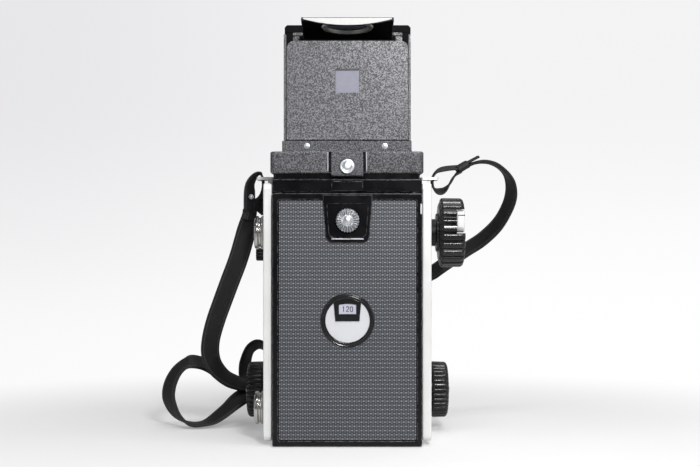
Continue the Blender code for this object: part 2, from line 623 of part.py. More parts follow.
def door():
    """The hinged back: a pan with a recess for the covering, the latch, the film mark and the pressure plate."""
    pan_y = (DOOR_Y[0] + 1.8, DOOR_Y[1] + 3.5)
    out_y = DOOR_Y[0] - 1.5
    cover_x, cover_z = (INSIDE[0] + 3.3, INSIDE[1] - 2.8), (DOOR_Z[0] + 3.2, DOOR_Z[1] - 3.7)
    window_x, window_z = around(DIAL_X, 4.3), (FILM_MARK_Z + 3.3, FILM_MARK_Z + 9.5)
    mark = (DIAL_X, FILM_MARK_Z)
    stud_r, hub_r = 1.4, 1.2
    back = box("back_door", INSIDE, DOOR_Y, DOOR_Z, "black")
    bevel(back, 0.6)
    hollow_x, hollow_z = (INSIDE[0] + 3.9, INSIDE[1] - 3.9), (DOOR_Z[0] + 7.7, DOOR_Z[1] - 5.0)
    bolt_z = (DOOR_Z[1] - 11.3, DOOR_Z[1] - GAP)
    cut(
        back,
        prism("leather_recess", "Y", (out_y, SKIN_Y), rect(cover_x, cover_z, 1.2, 2)),
        prism("latch_recess", "Y", (out_y + 0.1, SKIN_Y + 0.01), grown(latch_outline(), GAP)),
        box("door_hollow", hollow_x, pan_y, hollow_z),
        box("bolt_way", around(DIAL_X, BOLT_HALF + 0.4), pan_y, (hollow_z[1] - 1.5, DOOR_Z[1] + 1.5)),
        rod("dial_bore", "Y", (DIAL_X, DIAL_Z), (out_y - 0.5, DOOR_Y[1] - 0.5), DIAL_STEM_R + 0.4),
        box("number_hole", around(DIAL_X, 4.4), (out_y - 0.5, DOOR_Y[1] - 0.5), (window_z[0] - 0.2, window_z[1] + 0.2)),
        rod("door_pin_bore", "X", (HINGE_Y, HINGE_Z), (-HALF, HALF), PIN_BORE_R, n=16),
    )
    for side in (-1, 1):
        gap_x = mirrored(side, EARS_X[0] - 0.4, EARS_X[1] + 0.4)
        cut(back, box(f"ear_gap_{side}", gap_x, (SKIN_Y + 0.21, pan_y[1]), (DOOR_Z[0] - 2.3, HINGE_Z + 1.8)))
    for x in STUDS_X:
        fuse(back, rod(f"plate_stud_{x:.0f}", "Y", (x, TAKE_Z), (SKIN_Y + 0.5, GATE_Y[0] - 0.9), stud_r, n=16))
    fuse(back, rod("number_stud", "Y", mark, (SKIN_Y + 0.5, DOOR_Y[1] - 0.5), hub_r, n=16))
    pivot(back, 0, HINGE_Y, HINGE_Z)

    cover = rect((cover_x[0] + GAP, cover_x[1] - GAP), (cover_z[0] + GAP, cover_z[1] - GAP), 1.0, 2)
    hole = circle(*mark, FILM_MARK_R + GAP, 40)
    leather = prism("door_leatherette", "Y", (DOOR_Y[0] - 0.15, PLATE_Y), cover, [hole], "leather")
    cut(leather, prism("latch_in_leather", "Y", (out_y, pan_y[0]), grown(latch_outline(), GAP + 0.05)))
    dial_bore = circle(DIAL_X, DIAL_Z, DIAL_STEM_R + 0.4, 20)
    prism("latch_plate", "Y", (DOOR_Y[0] - 0.9, PLATE_Y), latch_outline(), [dial_bore], "black")
    stem, rear, face = DOOR_Y[1] - 1.1, DOOR_Y[0] - 1.2, DOOR_Y[0] - 4.6
    flute = 0.5
    dial = [
        (stem, 0), (stem, DIAL_STEM_R), (rear, DIAL_STEM_R), (rear, DIAL_R, flute), (rear - 2.2, DIAL_R, flute),
        (rear - 2.6, DIAL_R - 0.8), (rear - 2.0, DIAL_R - 1.8), (rear - 2.8, DIAL_R / 2), (face + 0.1, 1.4), (face, 0),
    ]
    pivot(turned("lock_dial", "Y", (DIAL_X, DIAL_Z), dial, "chrome", ribs=24), DIAL_X, rear, DIAL_Z)
    box("latch_bolt", around(DIAL_X, BOLT_HALF), (pan_y[0] + GAP, DOOR_Y[1] - 0.9), bolt_z, "steel")
    ring_r, plate_r, disc_r = FILM_MARK_R - 2.3, FILM_MARK_R - 2.6, FILM_MARK_R - 3.3
    ring = [
        (PLATE_Y, ring_r), (DOOR_Y[0] - 0.9, ring_r), (DOOR_Y[0] - 1.2, ring_r + 1.0), (DOOR_Y[0] - 0.6, FILM_MARK_R),
        (PLATE_Y, FILM_MARK_R),
    ]
    turned("film_type_ring", "Y", mark, ring, "plastic")
    face_y = (DOOR_Y[0] - 0.6, PLATE_Y)
    prism("film_type_plate", "Y", face_y, circle(*mark, plate_r, 48), [rect(window_x, window_z)], "enamel")
    near, rim, far = pan_y[0] + GAP, pan_y[0] + 1.0, pan_y[0] + 2.6
    grip_r = 5.0
    disc = [
        (near, hub_r + GAP), (near, disc_r), (rim, disc_r), (rim, grip_r, flute), (far, grip_r, flute), (far, hub_r + GAP),
    ]
    pivot(turned("film_number_disc", "Y", mark, disc, "enamel", ribs=10), DIAL_X, rim, FILM_MARK_Z)
    plate_y = (GATE_Y[0] - 2.2, GATE_Y[0] - 0.4)
    plate = rect((-FRAME_HALF - 2.0, FRAME_HALF + 2.0), around(TAKE_Z, FRAME_HALF + 3.0), 3.0, 3)
    studs = [circle(x, TAKE_Z, stud_r + GAP, 16) for x in STUDS_X]
    prism("pressure_plate", "Y", plate_y, plate, studs, "black")


def hood_seat():
    """The hood's base on the deck, with the lock button in its rear block, and the frame that the leaves fold on."""
    well = rect((-WALL_X + 1.5, WALL_X - 1.5), (REAR + 6.5, FRONT - 0.5), 1.5, 2)
    outline = rect((-HALF + 3.7, HALF - 4.2), (REAR - 0.5, FRONT + 3.0), 2.5, 3)
    seat = prism("hood_base", "Z", HOOD_Z, outline, [well], "wrinkle")
    plinth = rect((INSIDE[0] + GAP, INSIDE[1] - GAP), (REAR + 1.1, FRONT + 1.4), 2.0, 3)
    block_y = (REAR - 2.1, REAR + 1.5)
    fuse(
        seat,
        prism("hood_plinth", "Z", (SEAT_Z, HOOD_Z[0] + 1.0), plinth, [well]),
        box("hood_block", BLOCK_X, block_y, (SEAT_Z + 0.8, HOOD_Z[1] - 0.4)),
    )
    axis = (sum(BLOCK_X) / 2, HOOD_Z[0] + 3.7)
    inner, face = REAR + 1.5, REAR - 4.2
    cut(seat, rod("button_bore", "Y", axis, (face - 6.0, REAR + 4.5), BUTTON_R + GAP, n=32))
    edge = 0.7
    button = [(inner, 0), (inner, BUTTON_R), (face + edge, BUTTON_R), (face, BUTTON_R - edge), (face, 0)]
    turned("hood_lock_button", "Y", axis, button, "chrome", 32)

    ring = rect((-WALL_X, WALL_X - 0.4), (REAR + 1.5, LID_AXIS[0] + 1.6), 1.0, 2)
    hole = rect((-WALL_X + 4.0, WALL_X - 4.0), (REAR + 7.5, LID_AXIS[0] - 2.4), 1.0, 2)
    frame = prism("hood_frame", "Z", RING_Z, ring, [hole], "wrinkle")
    foot = RING_Z[1] - 0.4
    wide = (-WALL_X + 0.1, WALL_X - 0.7)
    leaf = around(LID_AXIS[0], SHEET / 2)
    fuse(
        frame,
        box("frame_rear", wide, (REAR + 1.5, REAR + 2.6), (foot, REAR_AXIS[1] - 1.1)),
        box("frame_front", (-WALL_X + 0.5, WALL_X - 0.7), leaf, (foot, LID_AXIS[1] - SHEET)),
        box("frame_rail", (SHEET_X, WALL_X - 0.7), (REAR + 14.5, LID_AXIS[0] - 2.8), (foot, RAIL_TOP)),
    )


def rear_leaf():
    """The panel at the back of the hood, with round top corners and a square window."""
    y, z = REAR_AXIS
    corner, window = 4.0, 6.3
    top = z + REAR_TALL
    middle = z + REAR_TALL * 0.592
    outline = [(-SHEET_X, z - SHEET / 2), (SHEET_X, z - SHEET / 2)]
    outline += arc(SHEET_X - corner, top - corner, corner, 0, 90, 4)
    outline += arc(-SHEET_X + corner, top - corner, corner, 90, 180, 4)
    hole = rect((-window, window), around(middle, window), 0.8, 2)
    leaf = prism("rear_hood_panel", "Y", around(y, SHEET / 2), outline, [hole], "wrinkle")
    pivot(leaf, 0, y, z)


def blind_outline(foot):
    """A side blind: the fan inside the lid's path, a sill, and a stay behind the path of the lid's ears."""
    lid_y, lid_z = LID_AXIS
    top, sill = lid_z + BLIND_TALL, lid_z - 1.3
    inner, outer = EAR_LOW - 0.9, LID_TALL + 0.6
    front_edge, rear_edge = lid_y - 2.6, REAR_AXIS[0] + 0.9
    reach = math.degrees(math.acos((top - lid_z) / inner))
    fan = arc(lid_y, lid_z, inner, 90 + reach, 180 - math.degrees(math.asin((sill - lid_z) / inner)), 12)
    low = math.degrees(math.asin((sill - lid_z) / outer))
    stay = lid_y - math.sqrt(max(outer**2 - STAY_RISE**2, 0))
    high = math.degrees(math.asin(STAY_RISE / outer))
    post = arc(lid_y, lid_z, outer, 180 - low, 180 - high, 8)
    return [(front_edge, foot), (front_edge, top), *fan, *post, (stay, top), (rear_edge, top), (rear_edge, foot)]


def blinds():
    for name, (x, z) in BLIND_AXES.items():
        blind = prism(name + "_blind", "X", around(x, SHEET / 2), blind_outline(z - SHEET / 2), finish="wrinkle")
        pivot(blind, x, 0, z)


def lid():
    """The lid with an ear at each side and the lugs that hold the magnifier, and the magnifier in its frame."""
    y, z = LID_AXIS
    low, ear, chamfer = z - SHEET / 2, SHEET_X + 4.7, 1.5
    right = [
        (SHEET_X, low), (SHEET_X, z + EAR_LOW), (ear, z + EAR_LOW), (ear, z + LID_TALL - chamfer),
        (ear - chamfer, z + LID_TALL),
    ]
    left = [(-a, b) for a, b in reversed(right)]
    leaf = prism("hood_lid", "Y", around(y, SHEET / 2), right + left, finish="wrinkle")
    lens_y, lens_z = LENS_AXIS
    half, lug, lens_r, way = 25.8, 1.2, 12.6, 0.4
    for side in (-1, 1):
        lug_x = mirrored(side, half + way, half + way + 2.0)
        fuse(leaf, box(f"lens_lug_{side}", lug_x, (lens_y - lug, y), around(lens_z, lug)))
        edge_x, edge_z = mirrored(side, SHEET_X + 2.1, ear), (z + 2.0, z + EAR_LOW + 1.0)
        fuse(leaf, box(f"lid_edge_{side}", edge_x, around(y, SHEET / 2 - 0.05), edge_z))
    pivot(leaf, 0, y, z)
    thick, tail = 0.7, 0.9
    near = lens_y - MAGNIFIER_LONG
    centre = lens_y - MAGNIFIER_LONG * 0.65
    outline = rect((-half, half), (near, lens_y + tail))
    frame = prism("magnifier_frame", "Z", around(lens_z, thick), outline, [circle(0, centre, lens_r + way, 40)], "black")
    bow, deep, spread = 100.0, 3.9, 14.8
    lip = arc(0, lens_z - deep + bow, bow, 270 - spread, 270 + spread)
    lip += [(half - 0.2, lens_z + thick - 0.05), (-half + 0.2, lens_z + thick - 0.05)]
    lip = prism("magnifier_lip", "Y", (near - tail, near + way), lip)
    fuse(frame, lip)
    edge, bulge = 0.5, 1.2
    glass = [(lens_z - bulge, 0), (lens_z - edge, lens_r), (lens_z + edge, lens_r), (lens_z + bulge, 0)]
    glass = turned("magnifier_lens", "Z", (0, centre), glass, "glass")
    for obj in (frame, lip, glass):
        pivot(obj, 0, lens_y, lens_z)
        obj.rotation_euler.x = math.radians(LENS_TILT)


def smooth(points, steps):
    """A Catmull-Rom curve through points of any dimension."""
    p = np.array(points, float)
    p = np.concatenate([2 * p[:1] - p[1:2], p, 2 * p[-1:] - p[-2:-1]])
    t = np.linspace(0, 1, steps, endpoint=False)[None, :, None]
    a, b, c, d = (p[k : len(p) - 3 + k, None] for k in range(4))
    curve = 0.5 * (2 * b + (c - a) * t + (2 * a - 5 * b + 4 * c - d) * t**2 + (3 * b - a - 3 * c + d) * t**3)
    return np.concatenate([curve.reshape(-1, p.shape[1]), p[-2:-1]])


def ribbon(name, stations, wide, thick, steps):
    """A flat strap. Each station is x, y, z of its middle and x, y, z of the direction of its width."""
    line = smooth(stations, steps)
    middle, across = line[:, :3], line[:, 3:]
    along = np.gradient(middle, axis=0)
    along /= np.linalg.norm(along, axis=1, keepdims=True)
    across -= (across * along).sum(axis=1, keepdims=True) * along
    across /= np.linalg.norm(across, axis=1, keepdims=True)
    up = np.cross(along, across)
    bm = bmesh.new()
    rings = []
    for u, v in ((-1, -1), (1, -1), (1, 1), (-1, 1)):
        corners = middle + 0.5 * (u * wide * across + v * thick * up)
        rings.append([bm.verts.new(Vector(spot) * MM) for spot in corners])
    skin_faces(bm, rings, closed=False)
    for end in (0, -1):
        bm.faces.new([ring[end] for ring in rings])
    keep(name, bm, "rubber")


# How far the front lies ahead of the lugs in the case that the route was chosen for.
ROUTE_REACH = 35.0


def beside(side, places, across, height=0.0):
    """Stations by the camera: how far outside its side, how far forward and how high, with the width's direction."""
    reach = (FRONT - STRAP_Y) / ROUTE_REACH
    return [(side * (HALF + out), STRAP_Y + reach * (y - 2.0), height + z, *across) for out, y, z in places]


def lugs_and_loops():
    """A slotted lug that stands on the top of each casting and the loop of strap through it."""
    low, thick, lug_half, slot_half = HEAD + 2.8, 1.6, 8.0, 6.2
    foot_z = (HEAD + GAP, low + thick)
    for name, side in (("left", -1), ("right", 1)):
        lug = rect(mirrored(side, HALF - 4.0, HALF + 5.7), around(STRAP_Y, lug_half), 1.2, 2)
        slot = rect(mirrored(side, HALF + 1.3, HALF + 4.4), around(STRAP_Y, slot_half))
        lug = prism(name + "_strap_lug", "Z", (low, low + thick), lug, [slot], "steel")
        foot_x, foot_y = mirrored(side, HALF - 3.8, HALF - 0.6), around(STRAP_Y, lug_half - 1.4)
        fuse(lug, box(name + "_lug_foot", foot_x, foot_y, foot_z))
    ribbon("left_strap_loop", LEFT_LOOP, STRAP_WIDE - 0.4, LOOP_THICK, 3)
    ribbon("right_strap_loop", RIGHT_LOOP, STRAP_WIDE - 0.4, LOOP_THICK, 3)


LOOP_THICK = 1.2
# The loops in the lugs, each from the strap's end up through the lug and back.
LEFT_LOOP = beside(-1, [(9.9, -3.2, -14.4), (9.8, -2.4, -3.4)], (0.5, 0.86, 0), HEAD)
LEFT_LOOP += beside(-1, [(8.9, -0.4, 1.9), (6.4, 1.2, 5.6)], (0.3, 0.95, 0.1), HEAD)
LEFT_LOOP += beside(-1, [(4.0, 2.0, 6.6), (2.8, 2.0, 3.6), (2.4, 2.0, -1.0)], (0, 1, 0), HEAD)
LEFT_LOOP += beside(-1, [(3.4, 2.4, -7.0)], (0.2, 0.96, -0.1), HEAD)
LEFT_LOOP += beside(-1, [(5.2, 2.8, -11.2), (7.2, 3.0, -13.6)], (0.72, 0.25, -0.62), HEAD)
RIGHT_LOOP = beside(1, [(17.6, 1.5, 10.2)], (0, 0.97, 0.22), HEAD)
RIGHT_LOOP += beside(1, [(10.9, 2.0, 9.6), (7.0, 2.0, 8.6)], (0.05, 0.97, 0.25), HEAD)
RIGHT_LOOP += beside(1, [(4.3, 2.0, 6.8), (2.8, 2.0, 3.6), (3.1, 2.0, -0.6)], (0, 1, 0), HEAD)
RIGHT_LOOP += beside(1, [(5.6, 2.0, -3.2), (9.0, 2.0, -2.8)], (0, 0.93, 0.36), HEAD)
RIGHT_LOOP += beside(1, [(12.3, 2.0, 0.6), (15.2, 2.0, 5.1)], (0.2, 0.96, 0.15), HEAD)
RIGHT_LOOP += beside(1, [(18.5, 2.0, 8.0)], (0, 0.97, 0.22), HEAD)

# The strap's route: down the left, a curl behind the focus knob, a loop on the floor, under the lens and up the right.
STRAP = beside(-1, [(10.2, 1.3, -15.9)], (0.55, 0.82, -0.15), HEAD)
STRAP += beside(-1, [(11.4, 1.5, -21.9)], (0.78, 0.6, -0.2), HEAD)
STRAP += beside(-1, [(13.5, 2, -30.9), (17.0, 3.5, -42.2), (21.5, 6, -53.6)], (0.94, 0.15, -0.32), HEAD)
STRAP += beside(-1, [(26.0, 9, 75.3), (30.4, 12.5, 63.7)], (0.93, 0.25, -0.28))
STRAP += beside(-1, [(33.4, 15.5, 53.1), (34.2, 18, 44.9)], (0.9, 0.42, 0))
STRAP += beside(-1, [(32.7, 21, 38.2)], (0.72, 0.65, 0.25))
STRAP += beside(-1, [(29.5, 26, 32.7)], (0.44, 0.8, 0.41))
STRAP += beside(-1, [(25.3, 33, 27.9)], (0.24, 0.88, 0.4))
STRAP += beside(-1, [(20.2, 42, 24.5), (15.5, 50, 22.3)], (0.1, 0.94, 0.31))
STRAP += beside(-1, [(8.5, 55.5, 23.0), (3.6, 60, 27.9)], (0, 0.98, 0.15))
STRAP += beside(-1, [(2.6, 62, 35.4)], (-0.2, 0.98, -0.1))
STRAP += beside(-1, [(5.0, 63, 42.9), (10.0, 63, 45.6), (15.0, 63, 42.4)], (0.1, 0.8, -0.59))
STRAP += beside(-1, [(17.6, 62.5, 35.4), (18.3, 62, 28.4)], (0.55, 0.83, 0))
STRAP += beside(-1, [(19.0, 61.5, 23.9), (20.6, 60, 21.0)], (0.3, 0.93, 0.2))
STRAP += beside(-1, [(27.3, 54, 24.7), (32.7, 48, 29.7), (36.9, 42, 33.9)], (0.12, 0.9, 0.4))
STRAP += beside(-1, [(40.4, 37, 36.3), (43.8, 33, 37.8), (47.1, 29, 38.1)], (0, 0.89, 0.45))
STRAP += beside(-1, [(51.1, 28, 36.6)], (-0.25, 0.87, 0.4))
STRAP += beside(-1, [(55.1, 27, 32.6)], (-0.5, 0.8, 0.3))
STRAP += beside(-1, [(58.1, 26, 26.6), (59.3, 25.5, 20.3), (58.5, 25.5, 15.0)], (-0.74, 0.67, 0))
STRAP += beside(-1, [(55.2, 26, 8.5)], (-0.45, 0.85, -0.3))
STRAP += beside(-1, [(50.2, 26, 4.2)], (-0.15, 0.97, -0.15))
STRAP += beside(-1, [(45.0, 26, 2.2), (39.3, 27, 2.6)], (0, 1, 0.05))
STRAP += beside(-1, [(33.5, 28, 4.9)], (-0.25, 0.88, 0.38))
STRAP += beside(-1, [(27.0, 29, 9.5), (21.1, 32, 14.4), (16.6, 42, 17.2)], (-0.42, 0.78, 0.46))
STRAP += beside(-1, [(13.6, 48.5, 18.5), (9.5, 50, 12.6), (4.5, 52, 7.2)], (-0.2, 0.92, 0.3))
STRAP += beside(-1, [(-0.5, 54, 3.2), (-6.9, 55, 1.5), (-32.9, 55, 1.4)], (0, 1, 0))
STRAP += beside(1, [(-30.9, 55, 1.4), (-6.9, 55, 1.5), (-0.3, 55, 4.4), (2.0, 55, 15.4)], (0, 1, 0))
STRAP += beside(1, [(2.2, 55, 36.4), (2.0, 54, 60.4), (1.4, 52.5, 76.4)], (-0.1, 0.98, 0.1))
STRAP += beside(1, [(2.2, 51, -54.0), (7.3, 50, -49.8), (14.4, 49, -44.7)], (-0.4, 0.73, 0.56), HEAD)
STRAP += beside(1, [(26.3, 47, -36.6), (35.5, 44, -30.3)], (-0.4, 0.73, 0.56), HEAD)
STRAP += beside(1, [(43.9, 39.5, -21.7)], (-0.48, 0.8, 0.36), HEAD)
STRAP += beside(1, [(49.0, 34, -12.0), (50.8, 29, -3.6)], (-0.46, 0.88, 0.08), HEAD)
STRAP += beside(1, [(49.3, 24, 4.1)], (-0.18, 0.98, -0.08), HEAD)
STRAP += beside(1, [(45.2, 19.5, 9.2), (39.2, 15, 12.7), (33.6, 11, 13.7), (28.7, 7.5, 13.3)], (0, 1, 0), HEAD)
STRAP += beside(1, [(24.7, 4.2, 12.1), (21.9, 2.8, 10.8)], (0, 1, 0.05), HEAD)


def strap():
    ribbon("neck_strap", STRAP, STRAP_WIDE, STRAP_THICK, 2)


for build in (
    sides, base, top, chamber, bellows, front, lenses, focusing, winding, spool_knobs, door, hood_seat, rear_leaf,
    blinds, lid, lugs_and_loops, strap,
):
    build()
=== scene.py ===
"""Looks of the twin lens reflex camera: the view, the strap, the finishes and the finely detailed pieces.

Sizes are in millimetres in the row frame, and meshes are made in metres. X is the photographer's right,
Y points to the subject and Z is up.
"""

import math

import bmesh
import bpy
import numpy as np
from mathutils import Matrix, Vector


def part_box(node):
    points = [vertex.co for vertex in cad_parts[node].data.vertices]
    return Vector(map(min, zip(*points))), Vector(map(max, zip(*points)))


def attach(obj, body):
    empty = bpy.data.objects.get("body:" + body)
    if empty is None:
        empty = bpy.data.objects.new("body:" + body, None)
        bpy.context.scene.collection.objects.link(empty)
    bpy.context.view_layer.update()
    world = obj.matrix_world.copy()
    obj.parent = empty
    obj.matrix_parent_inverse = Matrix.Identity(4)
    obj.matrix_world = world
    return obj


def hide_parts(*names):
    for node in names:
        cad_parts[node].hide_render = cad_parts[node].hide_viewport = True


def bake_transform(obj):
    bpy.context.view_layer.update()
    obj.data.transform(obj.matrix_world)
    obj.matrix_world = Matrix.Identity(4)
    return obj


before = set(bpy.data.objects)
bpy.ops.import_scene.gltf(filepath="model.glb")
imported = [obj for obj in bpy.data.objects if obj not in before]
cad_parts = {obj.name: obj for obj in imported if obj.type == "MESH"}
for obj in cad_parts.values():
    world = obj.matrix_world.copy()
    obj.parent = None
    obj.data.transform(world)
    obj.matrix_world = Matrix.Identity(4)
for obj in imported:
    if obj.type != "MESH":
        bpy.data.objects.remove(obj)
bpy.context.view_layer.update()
MM = 0.001


def spans(node):
    """The extents of a CAD node along X, Y and Z, in millimetres."""
    low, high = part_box(node)
    return [(a / MM, b / MM) for a, b in zip(low, high)]


def middle(span):
    return (span[0] + span[1]) / 2


def turned(node, axis):
    """The span along X or Y of a CAD node that is round about that axis, with its centre and its radius."""
    x, y, z = spans(node)
    if axis == "X":
        return x, (middle(y), middle(z)), (z[1] - z[0]) / 2
    return y, (middle(x), middle(z)), (x[1] - x[0]) / 2


def from_end(end, rows, sign=1):
    """Rows of a profile that are measured along the axis from one end of a turned piece."""
    return [(end + sign * along, *rest) for along, *rest in rows]


# The camera looks level along Y from behind the door, a little right of the middle.
VIEW_FROM = (1.4, -688.0, 113.4)
VIEW_FOCAL = 63.05
eye = bpy.data.objects.new("camera", bpy.data.cameras.new("camera"))
bpy.context.scene.collection.objects.link(eye)
bpy.context.scene.camera = eye
eye.location = np.array(VIEW_FROM) * MM
eye.rotation_euler = (math.radians(90), 0, 0)
eye.data.lens = VIEW_FOCAL
eye.data.sensor_width = 36.0
eye.data.clip_start = 0.01


class Wire:
    """A shader socket that takes part in arithmetic: each operator adds one Math node to its tree."""

    def __init__(self, tree, socket):
        self.tree = tree
        self.socket = socket

    def make(self, kind, inputs, out=0, **settings):
        """A new node with its settings and its inputs by name or number; gives one of its outputs."""
        node = self.tree.nodes.new(kind)
        for key, value in settings.items():
            setattr(node, key, value)
        for key, value in inputs.items():
            if isinstance(value, Wire):
                self.tree.links.new(value.socket, node.inputs[key])
            else:
                node.inputs[key].default_value = value
        return Wire(self.tree, node.outputs[out])

    def math(self, operation, *others):
        return self.make("ShaderNodeMath", dict(enumerate((self, *others))), operation=operation)

    def __add__(self, other):
        return self.math("ADD", other)

    def __sub__(self, other):
        return self.math("SUBTRACT", other)

    def __rsub__(self, other):
        return (self * -1) + other

    def __mul__(self, other):
        return self.math("MULTIPLY", other)

    def __truediv__(self, other):
        return self.math("DIVIDE", other)

    def __pow__(self, other):
        return self.math("POWER", other)

    def __abs__(self):
        return self.math("ABSOLUTE")

    __radd__ = __add__
    __rmul__ = __mul__

    def least(self, other):
        return self.math("MINIMUM", other)

    def most(self, other):
        return self.math("MAXIMUM", other)

    def sine(self):
        return self.math("SINE")

    def ramp(self, start, end):
        """Smoothly from 0 at start to 1 at end."""
        inputs = {"Value": self, "From Min": start, "From Max": end}
        return self.make("ShaderNodeMapRange", inputs, interpolation_type="SMOOTHSTEP")

    def mix(self, first, second):
        """A colour between two, this socket being the share of the second."""
        inputs = {0: self}
        for key, value in ((6, first), (7, second)):
            inputs[key] = value if isinstance(value, Wire) else (*value, 1.0)
        return self.make("ShaderNodeMix", inputs, 2, data_type="RGBA")

    def axis(self, k):
        return self.make("ShaderNodeSeparateXYZ", {0: self}, k)

    def stretched(self, *scale):
        return self.make("ShaderNodeVectorMath", {0: self, 1: scale}, operation="MULTIPLY")

    def noise(self, scale, detail=2.0, rough=0.5):
        inputs = {"Vector": self, "Scale": scale, "Detail": detail, "Roughness": rough}
        return self.make("ShaderNodeTexNoise", inputs)

    def cells(self, scale, out=0, **settings):
        return self.make("ShaderNodeTexVoronoi", {"Vector": self, "Scale": scale}, out, **settings)

    def bump(self, height, strength):
        """The shading normal of a surface that this socket raises by a height in millimetres."""
        inputs = {"Height": self, "Strength": strength, "Distance": height * MM}
        return self.make("ShaderNodeBump", inputs)


class Finish:
    """A material with one Principled shader; its coordinates are the object's, in millimetres."""

    def __init__(self, name, slot, **constants):
        self.material = bpy.data.materials.new(name)
        self.material.use_nodes = True
        self.slot = slot
        tree = self.material.node_tree
        self.shader = tree.nodes["Principled BSDF"]
        for key, value in constants.items():
            self.shader.inputs[key.replace("_", " ")].default_value = value
        coordinates = tree.nodes.new("ShaderNodeTexCoord")
        self.place = Wire(tree, coordinates.outputs["Object"]).stretched(1 / MM, 1 / MM, 1 / MM)

    def mark(self, name):
        """A value that the mesh carries; 0 on a mesh without it."""
        return self.place.make("ShaderNodeAttribute", {}, 2, attribute_name=name)

    def set(self, **wires):
        for key, wire in wires.items():
            self.shader.id_data.links.new(wire.socket, self.shader.inputs[key.replace("_", " ")])
        return self


def soften(points, radius, steps=3, closed=False):
    """Rounds a polyline's corners by quadratic curves between points a radius away along its sides."""
    p = np.array(points, float)
    before, after = np.roll(p, 1, axis=0), np.roll(p, -1, axis=0)
    t = np.linspace(0, 1, steps + 1)[None, :, None]
    ends = []
    for other in (before, after):
        arm = other - p
        long = np.linalg.norm(arm[:, :2], axis=1, keepdims=True)
        ends.append(p + arm * np.minimum(radius / np.maximum(long, 1e-9), 0.45))
    a, b = (end[:, None] for end in ends)
    curve = (1 - t) ** 2 * a + 2 * t * (1 - t) * p[:, None] + t**2 * b
    if closed:
        return curve.reshape(-1, p.shape[1])
    return np.concatenate([p[:1], curve[1:-1].reshape(-1, p.shape[1]), p[-1:]])


def smooth(points, steps):
    """A Catmull-Rom curve through points of any dimension."""
    p = np.array(points, float)
    p = np.concatenate([2 * p[:1] - p[1:2], p, 2 * p[-1:] - p[-2:-1]])
    t = np.linspace(0, 1, steps, endpoint=False)[None, :, None]
    a, b, c, d = (p[k : len(p) - 3 + k, None] for k in range(4))
    square, cube = 2 * a - 5 * b + 4 * c - d, 3 * b - a - 3 * c + d
    curve = 0.5 * (2 * b + (c - a) * t + square * t**2 + cube * t**3)
    return np.concatenate([curve.reshape(-1, p.shape[1]), p[-2:-1]])


def rounded(a_span, b_span, radius, steps=6):
    """The outline of a rectangle with round corners, as an array of points."""
    left, right = a_span[0] + radius, a_span[1] - radius
    low, high = b_span[0] + radius, b_span[1] - radius
    turn = np.linspace(0, math.pi / 2, steps + 1)
    corner = np.stack([np.cos(turn), np.sin(turn)], axis=1) * radius
    quarter = np.array([[0, -1], [1, 0]])
    outline = []
    for centre in ((right, high), (left, high), (left, low), (right, low)):
        outline.append(corner + centre)
        corner = corner @ quarter.T
    return np.concatenate(outline)


def circle(a, b, radius, count):
    turn = np.linspace(0, 2 * math.pi, count, endpoint=False)
    return np.stack([a + radius * np.cos(turn), b + radius * np.sin(turn)], axis=1)


def inset(outline, by):
    """A closed outline, wound anticlockwise, moved in along the normals of its corners."""
    sides = np.roll(outline, -1, axis=0) - outline
    sides = sides / np.maximum(np.linalg.norm(sides, axis=1, keepdims=True), 1e-9)
    normals = np.stack([-sides[:, 1], sides[:, 0]], axis=1)
    before = np.roll(normals, 1, axis=0)
    middle_way = normals + before
    middle_way = middle_way / np.maximum((middle_way * normals).sum(axis=1, keepdims=True), 0.2)
    return outline + by * middle_way


def resample(outline, count):
    """Evenly spaced points round a closed outline, starting at its rightmost side."""
    loop = np.concatenate([outline, outline[:1]])
    far = np.concatenate([[0], np.cumsum(np.linalg.norm(np.diff(loop, axis=0), axis=1))])
    at = np.linspace(0, far[-1], count, endpoint=False)
    return np.stack([np.interp(at, far, loop[:, k]) for k in range(2)], axis=1)


def in_space(plane, flat, along):
    """Points from coordinates in a plane, X (Y, Z), Y (X, Z) or Z (X, Y), and along its normal."""
    along = np.broadcast_to(along, flat.shape[:-1])
    parts = {"X": (along, flat[..., 0], flat[..., 1]), "Y": (flat[..., 0], along, flat[..., 1])}
    return np.stack(parts.get(plane, (flat[..., 0], flat[..., 1], along)), axis=-1)


def surface(name, points, marks=None, wrap=(False, True), ends=(True, True)):
    """A mesh over a grid of points; wrap joins the last row or column to the first, ends close the rows."""
    rows, columns = points.shape[:2]
    index = np.arange(rows * columns).reshape(rows, columns)
    if wrap[0]:
        index = np.concatenate([index, index[:1]])
    if wrap[1]:
        index = np.concatenate([index, index[:, :1]], axis=1)
    corners = (index[:-1, :-1], index[:-1, 1:], index[1:, 1:], index[1:, :-1])
    faces = np.stack(corners, axis=-1).reshape(-1, 4).tolist()
    if not wrap[0]:
        outer = (index[0, :columns], index[-1, :columns])
        faces += [side.tolist() for side, closed in zip(outer, ends) if closed]
    mesh = bpy.data.meshes.new(name)
    mesh.from_pydata((points.reshape(-1, 3) * MM).tolist(), [], faces)
    for key, value in (marks or {}).items():
        attribute = mesh.attributes.new(key, "FLOAT", "POINT")
        values = np.broadcast_to(value, (rows, columns)).astype(np.float32)
        attribute.data.foreach_set("value", values.ravel())
    bm = bmesh.new()
    bm.from_mesh(mesh)
    bmesh.ops.remove_doubles(bm, verts=bm.verts[:], dist=1e-7)
    bmesh.ops.recalc_face_normals(bm, faces=bm.faces[:])
    bm.to_mesh(mesh)
    bm.free()
    mesh.shade_smooth()
    obj = bpy.data.objects.new(name, mesh)
    bpy.context.scene.collection.objects.link(obj)
    return obj


def wear(obj, finish, body, *nodes):
    """Gives a piece its finish and its body, and hides the CAD nodes that it stands for."""
    obj.data.materials.clear()
    obj.data.materials.append(finish.material)
    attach(obj, body)
    if nodes:
        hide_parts(*nodes)
    return obj


